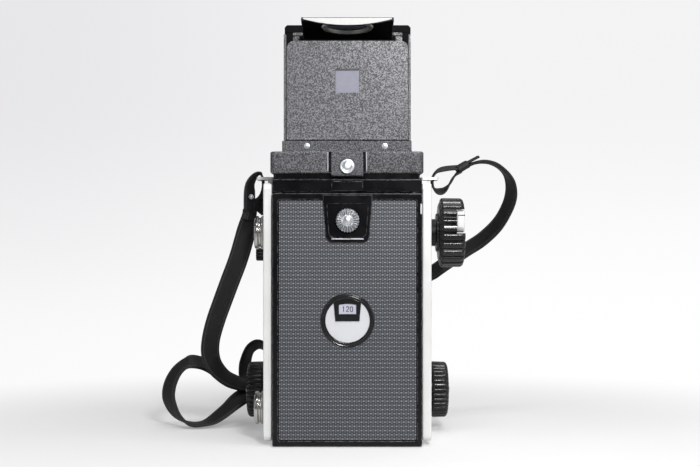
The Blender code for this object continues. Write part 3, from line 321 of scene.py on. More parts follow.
def flat_normals(obj):
    """Keeps wide flat faces flat beside small rounded edges."""
    change = obj.modifiers.new("flat faces", "WEIGHTED_NORMAL")
    change.weight = 100
    change.keep_sharp = True
    return obj


def slab(name, plane, span, outline, edge=0.4, steps=3, hole=None):
    """A plate: its outline carried through the span, with both rims rounded; a hole has as many points."""
    turn = np.linspace(0, math.pi / 2, steps + 1)
    lo, hi = span
    inward = np.concatenate([edge * (1 - np.sin(turn)), edge * (1 - np.cos(turn))])
    along = np.concatenate([lo + edge * (1 - np.cos(turn)), hi - edge + edge * np.sin(turn)])
    rows = [in_space(plane, inset(outline, by), t) for by, t in zip(inward, along)]
    worn = np.sin(2 * np.concatenate([turn, turn]))
    if hole is not None:
        rows += [in_space(plane, inset(hole, -by), t) for by, t in zip(inward[::-1], along[::-1])]
        worn = np.concatenate([worn, worn])
    marks = {"edge": worn[:, None]}
    return flat_normals(surface(name, np.stack(rows), marks, wrap=(hole is not None, True)))


def lathe(name, axis, centre, profile, round_by=0.25, count=96, ribs=0, sharp=2.0, closed=False):
    """A profile of (along, radius, rib depth) turned about an axis, with count points round it, or round
    each rib. Ribs push the surface in along its normal by the depth times a power of a cosine of the turn,
    so a high power gives broad lands and narrow grooves."""
    profile = [(*row, 0.0)[:3] for row in profile]
    line = soften(profile, round_by, closed=closed)
    along, radius, depth = line.T
    tangent = np.gradient(line[:, :2], axis=0)
    tangent /= np.maximum(np.linalg.norm(tangent, axis=1, keepdims=True), 1e-9)
    bend = np.linalg.norm(np.gradient(tangent, axis=0), axis=1)
    turn = np.linspace(0, 2 * math.pi, count * max(ribs, 1), endpoint=False)
    groove = (0.5 + 0.5 * np.cos(ribs * turn)) ** sharp if ribs else np.zeros(count)
    push = depth[:, None] * groove[None]
    sign = np.sign(np.sum(np.roll(along, -1) * radius - along * np.roll(radius, -1))) or 1.0
    out_along, out_radius = sign * -tangent[:, 1], sign * tangent[:, 0]
    r = np.maximum(radius[:, None] - push * out_radius[:, None], 0.0)
    flat = np.stack([centre[0] + r * np.cos(turn), centre[1] + r * np.sin(turn)], axis=-1)
    points = in_space(axis, flat, along[:, None] - push * out_along[:, None])
    marks = {"edge": np.clip(bend * 1.6, 0, 1)[:, None] * (1 - 0.6 * groove)[None], "groove": groove[None]}
    return surface(name, points, marks, wrap=(closed, True), ends=(False, False))


def tube(name, path, radius, count=10):
    """A round wire along a path, with rings that turn with it."""
    path = np.array(path, float)
    along = np.gradient(path, axis=0)
    along /= np.linalg.norm(along, axis=1, keepdims=True)
    side = np.cross(along, np.where(np.abs(along[:, 2:]) > 0.9, (1.0, 0, 0), (0, 0, 1.0)))
    side /= np.linalg.norm(side, axis=1, keepdims=True)
    up = np.cross(side, along)
    turn = np.linspace(0, 2 * math.pi, count, endpoint=False)[None, :, None]
    ring = np.cos(turn) * side[:, None] + np.sin(turn) * up[:, None]
    return surface(name, path[:, None] + radius * ring, {"edge": np.array([[0.3]])})


# Finishes. Each is a function that returns one material.


def silver_paint():
    """Satin silver lacquer: a fine grain, faint cloudiness and rims rubbed brighter."""
    f = Finish("silver paint", "silver_paint", Metallic=0.15, Coat_Weight=0.15)
    cloud = f.place.noise(0.06, 3)
    grain = f.place.noise(3.5, 2)
    rub = f.mark("edge") * f.place.noise(0.7, 3).ramp(0.35, 0.7)
    colour = cloud.ramp(0.3, 0.7).mix((0.80, 0.80, 0.79), (0.86, 0.86, 0.85))
    return f.set(
        Base_Color=(rub * 0.6).mix(colour, (0.90, 0.90, 0.89)),
        Roughness=0.34 + 0.14 * grain - 0.08 * rub,
        Normal=grain.bump(0.03, 0.25),
    )


def wrinkle_paint(name="wrinkle paint", grey=0.165, shine=0.95):
    """Crackled enamel: rounded grains, with painted shade between them and a painted highlight on their
    tops, greyer where rubbed.
    """
    f = Finish(name, "wrinkle_paint", Specular_IOR_Level=shine)
    grain = f.place.noise(1.5, 2.0, 0.6)
    fine = f.place.noise(3.2, 2)
    height = (0.55 * grain + 0.45 * fine).ramp(0.48, 0.55)
    rub = f.mark("edge") * height
    # Painted light: the near black between the grains is painted shade, and the paler grey on their tops is
    # a painted highlight.
    colour = height.mix((0.003, 0.003, 0.004), (grey, grey, 1.14 * grey))
    return f.set(
        Base_Color=(rub * 0.6).mix(colour, (0.34, 0.34, 0.35)),
        Roughness=0.62 - 0.34 * height,
        Normal=height.bump(0.03, 1.0),
    )


WEAVE_ACROSS, WEAVE_UP = 2.49, 2.228


def leatherette():
    """Woven covering: staggered rows of crossings with a painted highlight on them, finer threads between
    them and painted shade in the pits.
    """
    f = Finish("leatherette", "leatherette", Specular_IOR_Level=0.7)
    turn = 2 * math.pi
    wobble = f.place.noise(0.8, 2) * 0.9 - 0.45
    u = f.place.axis(0) * (turn / WEAVE_ACROSS) + wobble
    v = f.place.axis(2) * (turn / WEAVE_UP) + wobble
    quarter = turn / 4
    rows, half_rows = (v + quarter).sine(), (2.0 * v + quarter).sine()
    threads = (2.0 * u + quarter).sine()
    crossings = (u + quarter).sine() * (1.5 * v + quarter).sine()
    weave = 0.5 + 0.13 * rows + 0.12 * threads + 0.20 * crossings + 0.08 * half_rows
    fibre = f.place.noise(2.8, 3)
    pit = weave.ramp(0.54, 0.26)
    raised = weave.ramp(0.50, 0.95) * (0.7 + 0.6 * fibre)
    tone = f.place.noise(0.025, 2).ramp(0.3, 0.7)
    colour = tone.mix((0.036, 0.040, 0.050), (0.044, 0.048, 0.059))
    # Painted highlight: the raised crossings are coloured pale grey; painted shade: the pits are coloured
    # near black (Base_Color below).
    colour = raised.mix(colour, (0.262, 0.276, 0.314))
    return f.set(
        Base_Color=pit.mix(colour, (0.012, 0.013, 0.015)),
        Roughness=0.40 + 0.20 * pit + 0.12 * fibre,
        Normal=(weave + 0.1 * fibre).bump(0.12, 0.8),
    )


def box_edge(f, node, wide):
    """How near a point is to an edge of the node's box: the middle one of its distances to the faces."""
    gaps = []
    for k, span in enumerate(spans(node)):
        gaps.append((span[1] - span[0]) / 2 - abs(f.place.axis(k) - middle(span)))
    a, b, c = gaps
    return a.least(b).most(a.most(b).least(c)).ramp(wide, 0.0)


def black_paint(node=None, dull=0.0):
    """Stoved black enamel: a soft shine with faint orange peel, rubbed to bare grey along its edges, a grey
    that is wear and also a painted highlight on the rounded rims.
    """
    name = "black paint" + (" " + node if node else "")
    f = Finish(name, "black_paint", Specular_IOR_Level=0.22 - 0.18 * dull)
    peel = f.place.noise(0.8, 2)
    smear = f.place.noise(0.09, 3).ramp(0.35, 0.7)
    edge = f.mark("edge") if node is None else box_edge(f, node, 0.8)
    # Edge grey: wear, and also a painted highlight along the rounded rims.
    rub = edge * f.place.noise(0.5, 4).ramp(0.38, 0.62) * (1.0 - 0.8 * dull)
    colour = smear.mix((0.0045, 0.0045, 0.0055), (0.007, 0.007, 0.008))
    return f.set(
        Base_Color=(rub * 0.45).mix(colour, (0.15, 0.15, 0.16)),
        Roughness=0.13 + 0.06 * smear + 0.05 * peel + 0.35 * dull,
        Normal=peel.bump(0.05, 0.2),
    )


def black_plastic():
    """Moulded black knobs: a satin skin, matt grooves and ribs polished by fingers."""
    f = Finish("black plastic", "black_plastic", Specular_IOR_Level=0.4)
    grain = f.place.noise(2.6, 3)
    groove = f.mark("groove")
    worn = f.mark("edge") * f.place.noise(0.4, 3).ramp(0.4, 0.7)
    colour = groove.mix((0.009, 0.009, 0.010), (0.005, 0.005, 0.005))
    return f.set(
        Base_Color=(worn * 0.5).mix(colour, (0.05, 0.05, 0.052)),
        Roughness=0.13 + 0.34 * groove + 0.06 * grain,
        Normal=grain.bump(0.04, 0.3),
    )


def bright_metal(name, slot, colour, low, high, brushing=(0.15, 2.0, 6.0)):
    """Plated or turned metal: fine tool marks round an axis, or straight brushing, and a few dull spots."""
    f = Finish(name, slot, Metallic=1.0)
    marks = f.place.stretched(*brushing).noise(1.0, 3)
    spots = f.place.noise(0.22, 4).ramp(0.5, 0.8)
    dull = tuple(0.72 * c for c in colour)
    return f.set(
        Base_Color=(spots * 0.6).mix(colour, dull),
        Roughness=low + (high - low) * (0.6 * marks + 0.4 * spots),
        Normal=marks.bump(0.02, 0.15),
    )


def strap_hide():
    """Black strap: pebbled grain and a paler pressed line along each edge."""
    f = Finish("strap hide", "black_rubber", Specular_IOR_Level=0.3)
    grain = f.place.cells(2.2)
    fine = f.place.noise(3.0, 3)
    line = f.mark("line")
    rim = f.mark("edge")
    colour = grain.ramp(0.1, 0.6).mix((0.016, 0.016, 0.017), (0.007, 0.007, 0.008))
    colour = (line * 0.5).mix(colour, (0.10, 0.10, 0.105))
    return f.set(
        Base_Color=(rim * fine * 0.6).mix(colour, (0.06, 0.058, 0.056)),
        Roughness=0.46 + 0.25 * fine - 0.08 * line,
        Normal=(grain * 0.8 + fine * 0.4 - line * 0.5).bump(0.10, 0.6),
    )


def bellows_cloth():
    """Black coated cloth with a fine weave; ridges rubbed grey and folds dull."""
    f = Finish("bellows cloth", "bellows_cloth")
    weave = (f.place.axis(0) * 7.0).sine() * (f.place.axis(2) * 7.0).sine()
    ridge = f.mark("edge")
    dust = f.place.noise(0.35, 4)
    colour = (ridge * dust).mix((0.008, 0.008, 0.009), (0.06, 0.06, 0.06))
    return f.set(
        Base_Color=colour,
        Roughness=0.72 + 0.15 * dust,
        Normal=(0.5 + 0.5 * weave).bump(0.06, 0.5),
    )


def white_enamel():
    """Printed white face: faint mottling and a slight soiling towards the rim."""
    f = Finish("white enamel", "white_enamel", Specular_IOR_Level=0.5)
    mottle = f.place.noise(0.35, 4)
    soil = f.mark("edge") * 0.5 + f.place.noise(0.12, 3).ramp(0.5, 0.8) * 0.25
    colour = soil.mix((0.64, 0.65, 0.67), (0.46, 0.45, 0.45))
    return f.set(Base_Color=colour, Roughness=0.30 + 0.2 * mottle, Normal=mottle.bump(0.02, 0.15))


def pale_print():
    """The window of the film mark: pale lavender card under a thin cover."""
    f = Finish("pale card", "white_enamel")
    fibre = f.place.noise(1.8, 4)
    return f.set(
        Base_Color=fibre.mix((0.46, 0.46, 0.56), (0.56, 0.56, 0.66)),
        Roughness=0.35 + 0.2 * fibre,
        Normal=fibre.bump(0.02, 0.2),
    )


def window_pane():
    """The pale face behind the hood's window: a soft sheen with faint dust."""
    f = Finish("window pane", "glass", Specular_IOR_Level=0.6)
    haze = f.place.noise(0.25, 3)
    dust = f.place.noise(2.5, 4).ramp(0.55, 0.8)
    colour = haze.mix((0.26, 0.26, 0.32), (0.31, 0.31, 0.37))
    return f.set(
        Base_Color=(dust * 0.2).mix(colour, (0.7, 0.7, 0.7)),
        Roughness=0.15 + 0.3 * dust,
        Normal=haze.bump(0.02, 0.2),
    )


def ink():
    """Dark printing: slightly uneven and a little paler at its edges."""
    f = Finish("ink", "black_plastic")
    bleed = f.place.noise(2.4, 3)
    colour = bleed.mix((0.02, 0.02, 0.022), (0.06, 0.06, 0.065))
    return f.set(Base_Color=colour, Roughness=0.4 + 0.2 * bleed)


def scale_paint():
    """White filling of engraved figures and marks."""
    f = Finish("scale paint", "white_enamel")
    chip = f.place.noise(1.6, 4)
    colour = chip.mix((0.78, 0.78, 0.76), (0.60, 0.60, 0.58))
    return f.set(Base_Color=colour, Roughness=0.4 + 0.2 * chip)


def coated_glass(name, depth, tint, film):
    """Lens glass over a dark barrel: a clear skin with a coloured coating and faint dust."""
    f = Finish(name, "glass", Specular_IOR_Level=0.7, Coat_Weight=1.0, Coat_Roughness=0.02)
    f.shader.inputs["Thin Film Thickness"].default_value = film
    f.shader.inputs["Thin Film IOR"].default_value = 1.38
    dust = f.place.noise(1.5, 5).ramp(0.62, 0.85)
    inner = f.place.noise(0.08, 2).ramp(0.3, 0.7)
    return f.set(
        Base_Color=(dust * 0.12).mix(inner.mix(depth, tint), (0.5, 0.5, 0.5)),
        Roughness=0.03 + 0.25 * dust,
        Normal=dust.bump(0.004, 0.1),
    )


def ground_glass():
    """The focusing screen: pale frosted glass with the fine rings of a field lens."""
    f = Finish("ground glass", "glass", Coat_Weight=0.4)
    frost = f.place.noise(5.0, 3)
    centre_y, ring_rate = 8.0, 6.0
    x, y = f.place.axis(0), f.place.axis(1) - centre_y
    rings = ((x * x + y * y) ** 0.5 * ring_rate).sine()
    colour = frost.mix((0.42, 0.45, 0.44), (0.55, 0.58, 0.57))
    return f.set(
        Base_Color=colour,
        Roughness=0.3 + 0.2 * frost,
        Normal=(0.5 + 0.3 * rings + 0.2 * frost).bump(0.02, 0.3),
    )


def silvered():
    """Front-silvered glass with a faint haze."""
    f = Finish("silvered glass", "mirror", Metallic=1.0)
    haze = f.place.noise(0.12, 4).ramp(0.45, 0.8)
    colour = haze.mix((0.92, 0.92, 0.93), (0.80, 0.81, 0.82))
    return f.set(Base_Color=colour, Roughness=0.02 + 0.12 * haze, Normal=haze.bump(0.002, 0.1))


SILVER = silver_paint()
WRINKLE = wrinkle_paint()
# Painted shade: a darker copy of the wrinkle paint for the hood's collar, block and strip, so they read
# less lit than the rear leaf.
SHADED_WRINKLE = wrinkle_paint("wrinkle paint painted shade", 0.130, 0.7)
LEATHER = leatherette()
BLACK = black_paint()
DULL = black_paint("hood_lid", 1.0)
# Painted highlight: pale metal for thin tubes that stand for the bright lines of light along edges.
PAINTED_HIGHLIGHT = bright_metal("painted edge highlight", "wrinkle_paint", (0.62, 0.62, 0.65), 0.45, 0.6)
RING = bright_metal("lens ring", "chrome_plate", (0.92, 0.91, 0.86), 0.5, 0.6)
PLASTIC = black_plastic()
DIAL = bright_metal("satin alloy", "chrome_plate", (0.74, 0.76, 0.79), 0.30, 0.42)
CHROME = bright_metal("chrome plate", "chrome_plate", (0.80, 0.80, 0.81), 0.10, 0.26)
TURNED = bright_metal("turned alloy", "silver_paint", (0.56, 0.55, 0.53), 0.16, 0.30, (7.0, 0.2, 0.2))
STEEL = bright_metal("steel", "steel", (0.50, 0.50, 0.51), 0.26, 0.42)
BRASS = bright_metal("brass", "brass", (0.70, 0.50, 0.22), 0.22, 0.40)
HIDE = strap_hide()
CLOTH = bellows_cloth()
ENAMEL = white_enamel()
CARD = pale_print()
PANE = window_pane()
INK = ink()
MARKING = scale_paint()
VIEW_GLASS = coated_glass("viewing glass", (0.006, 0.006, 0.010), (0.020, 0.012, 0.030), 380.0)
TAKE_GLASS = coated_glass("taking glass", (0.005, 0.006, 0.012), (0.012, 0.016, 0.040), 460.0)
HAND_GLASS = coated_glass("magnifier glass", (0.30, 0.32, 0.36), (0.42, 0.44, 0.50), 300.0)
SCREEN = ground_glass()
MIRROR = silvered()


# The strap and its loops follow the same stations as their CAD solids.
SIDE = -spans("left_casting")[0][0]
HEAD = spans("left_casting")[2][1]
STRAP_WIDE, STRAP_THICK = 11.0, 1.8
LOOP_WIDE, LOOP_THICK = 10.6, 1.2
STRAP_STEPS = 8


def beside(side, places, across, height=0.0):
    """Stations by the camera: outside its side, forward and up, with the direction of the width."""
    return [(side * (SIDE + out), y, height + z, *across) for out, y, z in places]


# The loops in the lugs, each from the strap's end up through the lug and back.
LEFT_LOOP = beside(-1, [(9.9, -3.2, -14.4), (9.8, -2.4, -3.4)], (0.5, 0.86, 0), HEAD)
LEFT_LOOP += beside(-1, [(8.9, -0.4, 1.9), (6.4, 1.2, 5.6)], (0.3, 0.95, 0.1), HEAD)
LEFT_LOOP += beside(-1, [(4.0, 2.0, 6.6), (2.8, 2.0, 3.6), (2.4, 2.0, -1.0)], (0, 1, 0), HEAD)
LEFT_LOOP += beside(-1, [(3.4, 2.4, -7.0)], (0.2, 0.96, -0.1), HEAD)
LEFT_LOOP += beside(-1, [(5.2, 2.8, -11.2), (7.2, 3.0, -13.6)], (0.72, 0.25, -0.62), HEAD)
RIGHT_LOOP = beside(1, [(17.6, 1.5, 10.2)], (0, 0.97, 0.22), HEAD)
RIGHT_LOOP += beside(1, [(10.9, 2.0, 9.6), (7.0, 2.0, 8.6)], (0.05, 0.97, 0.25), HEAD)
RIGHT_LOOP += beside(1, [(4.3, 2.0, 6.8), (2.8, 2.0, 3.6), (3.1, 2.0, -0.6)], (0, 1, 0), HEAD)
RIGHT_LOOP += beside(1, [(5.6, 2.0, -3.2), (9.0, 2.0, -2.8)], (0, 0.93, 0.36), HEAD)
RIGHT_LOOP += beside(1, [(12.3, 2.0, 0.6), (15.2, 2.0, 5.1)], (0.2, 0.96, 0.15), HEAD)
RIGHT_LOOP += beside(1, [(18.5, 2.0, 8.0)], (0, 0.97, 0.22), HEAD)

# The strap's route: down the left, a curl behind the focus knob, a loop on the floor, then up the right.
STRAP = beside(-1, [(10.2, 1.3, -15.9)], (0.55, 0.82, -0.15), HEAD)
STRAP += beside(-1, [(11.4, 1.5, -21.9)], (0.78, 0.6, -0.2), HEAD)
STRAP += beside(-1, [(13.5, 2, -30.9), (17.0, 3.5, -42.2), (21.5, 6, -53.6)], (0.94, 0.15, -0.32), HEAD)
STRAP += beside(-1, [(26.0, 9, 75.3), (30.4, 12.5, 63.7)], (0.93, 0.25, -0.28))
STRAP += beside(-1, [(33.4, 15.5, 53.1), (34.2, 18, 44.9)], (0.9, 0.42, 0))
STRAP += beside(-1, [(32.7, 21, 38.2)], (0.72, 0.65, 0.25))
STRAP += beside(-1, [(29.5, 26, 32.7)], (0.44, 0.8, 0.41))
STRAP += beside(-1, [(25.3, 33, 27.9)], (0.24, 0.88, 0.4))
STRAP += beside(-1, [(20.2, 42, 24.5), (15.5, 50, 22.3)], (0.1, 0.94, 0.31))
STRAP += beside(-1, [(8.5, 55.5, 23.0), (3.6, 60, 27.9)], (0, 0.98, 0.15))
STRAP += beside(-1, [(2.6, 62, 35.4)], (-0.2, 0.98, -0.1))
STRAP += beside(-1, [(5.0, 63, 42.9), (10.0, 63, 45.6), (15.0, 63, 42.4)], (0.1, 0.8, -0.59))
STRAP += beside(-1, [(17.6, 62.5, 35.4), (18.3, 62, 28.4)], (0.55, 0.83, 0))
STRAP += beside(-1, [(19.0, 61.5, 23.9), (20.6, 60, 21.0)], (0.3, 0.93, 0.2))
STRAP += beside(-1, [(27.3, 54, 24.7), (32.7, 48, 29.7), (36.9, 42, 33.9)], (0.12, 0.9, 0.4))
STRAP += beside(-1, [(40.4, 37, 36.3), (43.8, 33, 37.8), (47.1, 29, 38.1)], (0, 0.89, 0.45))
STRAP += beside(-1, [(51.1, 28, 36.6)], (-0.25, 0.87, 0.4))
STRAP += beside(-1, [(55.1, 27, 32.6)], (-0.5, 0.8, 0.3))
STRAP += beside(-1, [(58.1, 26, 26.6), (59.3, 25.5, 20.3), (58.5, 25.5, 15.0)], (-0.74, 0.67, 0))
STRAP += beside(-1, [(55.2, 26, 8.5)], (-0.45, 0.85, -0.3))
STRAP += beside(-1, [(50.2, 26, 4.2)], (-0.15, 0.97, -0.15))
STRAP += beside(-1, [(45.0, 26, 2.2), (39.3, 27, 2.6)], (0, 1, 0.05))
STRAP += beside(-1, [(33.5, 28, 4.9)], (-0.25, 0.88, 0.38))
STRAP += beside(-1, [(27.0, 29, 9.5), (21.1, 32, 14.4), (16.6, 42, 17.2)], (-0.42, 0.78, 0.46))
STRAP += beside(-1, [(13.6, 48.5, 18.5), (9.5, 50, 12.6), (4.5, 52, 7.2)], (-0.2, 0.92, 0.3))
STRAP += beside(-1, [(-0.5, 54, 3.2), (-6.9, 55, 1.5), (-32.9, 55, 1.4)], (0, 1, 0))
STRAP += beside(1, [(-30.9, 55, 1.4), (-6.9, 55, 1.5), (-0.3, 55, 4.4), (2.0, 55, 15.4)], (0, 1, 0))
STRAP += beside(1, [(2.2, 55, 36.4), (2.0, 54, 60.4), (1.4, 52.5, 76.4)], (-0.1, 0.98, 0.1))
STRAP += beside(1, [(2.2, 51, -54.0), (7.3, 50, -49.8), (14.4, 49, -44.7)], (-0.4, 0.73, 0.56), HEAD)
STRAP += beside(1, [(26.3, 47, -36.6), (35.5, 44, -30.3)], (-0.4, 0.73, 0.56), HEAD)
STRAP += beside(1, [(43.9, 39.5, -21.7)], (-0.48, 0.8, 0.36), HEAD)
STRAP += beside(1, [(49.0, 34, -12.0), (50.8, 29, -3.6)], (-0.46, 0.88, 0.08), HEAD)
STRAP += beside(1, [(49.3, 24, 4.1)], (-0.18, 0.98, -0.08), HEAD)
STRAP += beside(
    1, [(45.2, 19.5, 9.2), (39.2, 15, 12.7), (33.6, 11, 13.7), (28.7, 7.5, 13.3)], (0, 1, 0), HEAD
)
STRAP += beside(1, [(24.7, 4.2, 12.1), (21.9, 2.8, 10.8)], (0, 1, 0.05), HEAD)


def eased(rows, reach):
    """Directions along a line, each blended with its neighbours so that a strap turns over gently."""
    weights = np.hanning(2 * reach + 3)[1:-1]
    padded = np.pad(rows, ((reach, reach), (0, 0)), mode="edge")
    blended = sum(w * padded[k : k + len(rows)] for k, w in enumerate(weights))
    return blended / np.linalg.norm(blended, axis=1, keepdims=True)


def ribbon(name, line, wide, thick):
    """A flat strap along a line of six numbers, its middle and the direction of its width. Across it the
    section is a rectangle with round edges and a shallow pressed line near each edge on both faces."""
    middle_line, across = line[:, :3], line[:, 3:].copy()
    along = np.gradient(middle_line, axis=0)
    along /= np.linalg.norm(along, axis=1, keepdims=True)
    across -= (across * along).sum(axis=1, keepdims=True) * along
    across /= np.linalg.norm(across, axis=1, keepdims=True)
    across = eased(across, STRAP_STEPS)
    normal = np.cross(along, across)
    normal /= np.linalg.norm(normal, axis=1, keepdims=True)
    face = np.array([-0.5, -0.49, -0.45, -0.41, -0.40, -0.38, -0.36, -0.34, -0.30, -0.15, 0.0])
    face = np.concatenate([face, -face[-2::-1]])
    beyond = np.maximum(np.abs(face) - 0.5 + thick / 2 / wide, 0) * 2 * wide / thick
    rim = np.sqrt(np.clip(1 - beyond**2, 0.05, 1))
    press = np.exp(-(((np.abs(face) - 0.38) / 0.018) ** 2))
    height = 0.5 * rim - 0.10 * press
    u = np.concatenate([face, face[::-1]]) * wide
    v = np.concatenate([height, -height[::-1]]) * thick
    points = middle_line[:, None] + u[None, :, None] * across[:, None] + v[None, :, None] * normal[:, None]
    both = np.concatenate([press, press[::-1]])[None]
    edges = np.concatenate([1 - rim, 1 - rim[::-1]])[None]
    return surface(name, points, {"line": both, "edge": edges}, wrap=(False, True))


strap_line = smooth(STRAP, STRAP_STEPS)
strap = wear(ribbon("strap", strap_line, STRAP_WIDE, STRAP_THICK), HIDE, "camera_body", "neck_strap")


def fitting(name, stations, wide, thick, *nodes):
    """A shorter piece of strap that lies with the long one."""
    piece = ribbon(name, smooth(stations, STRAP_STEPS), wide, thick)
    wear(piece, HIDE, "camera_body", *nodes)


fitting("left_loop", LEFT_LOOP, LOOP_WIDE, LOOP_THICK, "left_strap_loop")
fitting("right_loop", RIGHT_LOOP, LOOP_WIDE, LOOP_THICK, "right_strap_loop")


def dome(name, axis, centre, base, height, radius, flange=0.0):
    """A rivet or screw head: a flat flange and a crown whose height falls with the square of the radius."""
    r = np.linspace(0, 1, 9)
    crown = [(base + height * (1 - 0.75 * t**2), radius * t) for t in r]
    foot = radius + flange
    crown += [(base + 0.12 * height, radius), (base + 0.12 * height, foot), (base - 0.2 * height, foot)]
    return lathe(name, axis, centre, crown, 0.06, 40)


# Pieces that stand for CAD nodes, or sit on them, from the case to the hood.
REAR_FACE = spans("back_door")[1][0]
DOOR_X, _, DOOR_Z = spans("back_door")
COVER_X, COVER_Y, COVER_Z = spans("door_leatherette")


def case():
    """The side castings and the band over the back, with rounded rims."""
    for node in ("left_casting", "right_casting"):
        x, y, z = spans(node)
        side = slab(node.replace("casting", "side"), "X", x, rounded(y, z, 3.2), 0.8, 4)
        wear(side, SILVER, "camera_body", node)
    x, y, z = spans("rear_top_bar")
    keeper_out, keeper_x = 1.1, (-8.6, 8.4)
    bar = slab("top_band", "Y", (y[0] + keeper_out, y[1]), rounded(x, z, 0.5), 0.6)
    keeper = slab("keeper", "Y", (y[0], y[0] + 3.0), rounded(keeper_x, (z[0] + 0.3, z[1] - 0.9), 0.9), 0.7)
    bolt_x, bolt_y, bolt_z = spans("latch_bolt")
    way, bolt_rise = 0.3, 2.5
    slot = rounded((bolt_x[0] - way, bolt_x[1] + way), (bolt_y[0] - way, bolt_y[1] + way), 0.2)
    for piece in (bar, keeper):
        carve(piece, slab("bolt_way", "Z", (z[0] - 1.0, bolt_z[1] + bolt_rise + way), slot, 0.05))
    wear(bar, BLACK, "camera_body", "rear_top_bar")
    wear(keeper, BLACK, "camera_body")
    ridge_x, ridge_z = (-2.6, 2.6), (z[1] - 1.9, z[1] - 0.2)
    ridge = slab("keeper_ridge", "Y", (y[0] - 0.5, y[0] + 1.0), rounded(ridge_x, ridge_z, 0.7), 0.5)
    wear(ridge, BLACK, "camera_body")


def back_cover():
    """The door's rim round the woven covering."""
    recess = 0.3
    outer = rounded(DOOR_X, DOOR_Z, 1.4)
    inner = rounded(*((span[0] - recess, span[1] + recess) for span in (COVER_X, COVER_Z)), 1.3)
    rim = slab("door_rim", "Y", (REAR_FACE - 0.35, REAR_FACE + 1.2), outer, 0.7, 4, hole=inner)
    wear(rim, BLACK, "door")
    mark_x, mark_z = (DOOR_X[1] - 1.0, DOOR_X[1] - 0.1), (123.7, 129.2)
    mark = slab("rim_mark", "Y", (REAR_FACE - 0.5, REAR_FACE + 0.5), rounded(mark_x, mark_z, 0.3), 0.15)
    wear(mark, ENAMEL, "door")
    covering = slab("door_covering", "Y", COVER_Y, rounded(COVER_X, COVER_Z, 1.0), 0.25)
    wear(covering, LEATHER, "door", "door_leatherette")


def trapezium(low, high, half_low, half_high, x, corner):
    """An upright outline, wider at one end, with its lower corners rounded, wound anticlockwise."""
    turn = np.linspace(0, math.pi / 2, 7)
    out, up = x + half_low - corner, low + corner
    right = np.stack([out + corner * np.sin(turn), up - corner * np.cos(turn)], axis=1)
    left = np.stack([2 * x - right[::-1, 0], right[::-1, 1]], axis=1)
    cut = 0.6
    bend = [(half_high, high - cut), (half_high - cut, high)]
    top = [(x + a, b) for a, b in bend] + [(x - a, b) for a, b in bend[::-1]]
    return np.concatenate([right, top, left])


def spoke(centre, y, turn, start, end):
    """Points straight out from an axis along Y, from one radius to another."""
    across, up = math.cos(turn), math.sin(turn)
    return [(centre[0] + t * across, y, centre[1] + t * up) for t in np.linspace(start, end, 6)]


def latch():
    """A raised trapezium with a sunk floor, and the serrated dial that turns in it."""
    _, y, z = spans("latch_plate")
    (out, _), axis, r = turned("lock_dial", "Y")
    dial_x = axis[0]
    outer = trapezium(z[0], z[1], half_low=11.7, half_high=13.3, x=dial_x, corner=4.0)
    inner = trapezium(z[0] + 3.2, z[1] - 5.0, half_low=9.7, half_high=10.7, x=dial_x, corner=2.6)
    plate = slab("latch_rim", "Y", (y[0] - 0.1, y[1]), outer, 0.55, 4, hole=inner)
    wear(plate, BLACK, "door", "latch_plate")
    floor = slab("latch_floor", "Y", (y[0] + 0.4, y[1]), inset(inner, -0.5), 0.1)
    wear(floor, BLACK, "door")
    # Painted highlight: the pale tube along the lower rim stands for the bright line of light on its edge.
    lip_y, lip_z, lip_half, lip_r = y[0] - 0.15, z[0] + 2.1, 8.6, 0.35
    lip = [(dial_x + t, lip_y, lip_z) for t in np.linspace(-lip_half, lip_half, 24)]
    wear(tube("latch_lip", lip, lip_r), PAINTED_HIGHLIGHT, "door")
    rows = [
        (4.6, 0), (4.6, r - 0.8), (3.6, r, 0.3), (1.4, r, 0.9), (0.75, r - 0.7, 0.9), (0.9, r * 0.46, 0.5),
        (1.3, r * 0.40), (0.55, r * 0.34), (0.15, r * 0.18), (0, 0),
    ]
    dial = lathe("serrated_dial", "Y", axis, from_end(out, rows), 0.22, 10, ribs=26, sharp=1.0)
    wear(dial, DIAL, "lock_dial", "lock_dial")
    # Painted shade: dark tubes on the dial's face stand for the shade in the flutes between its teeth.
    flutes, flute_wide = 22, 0.17
    for k in range(flutes):
        line = spoke(axis, out + 0.8, 2 * math.pi * k / flutes, 0.50 * r, 0.93 * r)
        wear(tube(f"dial_flute_shade_{k}", line, flute_wide, 6), INK, "lock_dial")


def strokes(name, figures, place, height, finish, body, wide):
    """Plain figures as flat ribbons on the door's plane."""
    unit = height / 2
    lines = []
    for k, figure in enumerate(figures):
        for line in FIGURES[figure]:
            flat = smooth(line, 6) if len(line) > 2 else np.array(line, float)
            lines.append(flat * unit + (unit * 1.55 * (k - (len(figures) - 1) / 2) - unit / 2, 0))
    for k, flat in enumerate(lines):
        along = np.gradient(flat, axis=0)
        along /= np.maximum(np.linalg.norm(along, axis=1, keepdims=True), 1e-9)
        across = np.stack([-along[:, 1], along[:, 0]], axis=1) * wide * height
        flat = np.stack([flat - across / 2, flat + across / 2], axis=1) + (place[0], place[2] - unit)
        faces = [in_space("Y", flat, place[1]), in_space("Y", flat[:, ::-1], place[1] + 0.12)]
        points = np.stack(faces, axis=1).reshape(len(flat), 4, 3)
        wear(surface(f"{name}_{k}", points), finish, body)


# Figures on a grid one wide and two high, as lines through points.
FIGURES = {
    "0": [
        [
            (0.5, 2.0), (0.08, 1.7), (0.0, 1.0), (0.08, 0.3), (0.5, 0.0),
            (0.92, 0.3), (1.0, 1.0), (0.92, 1.7), (0.5, 2.0),
        ],
    ],
    "1": [[(0.5, 0.0), (0.5, 2.0)], [(0.5, 2.0), (0.2, 1.65)]],
    "2": [
        [(0.02, 1.55), (0.2, 1.92), (0.6, 2.0), (0.95, 1.7), (0.9, 1.25), (0.4, 0.6), (0.0, 0.06)],
        [(0.0, 0.04), (1.0, 0.04)],
    ],
}


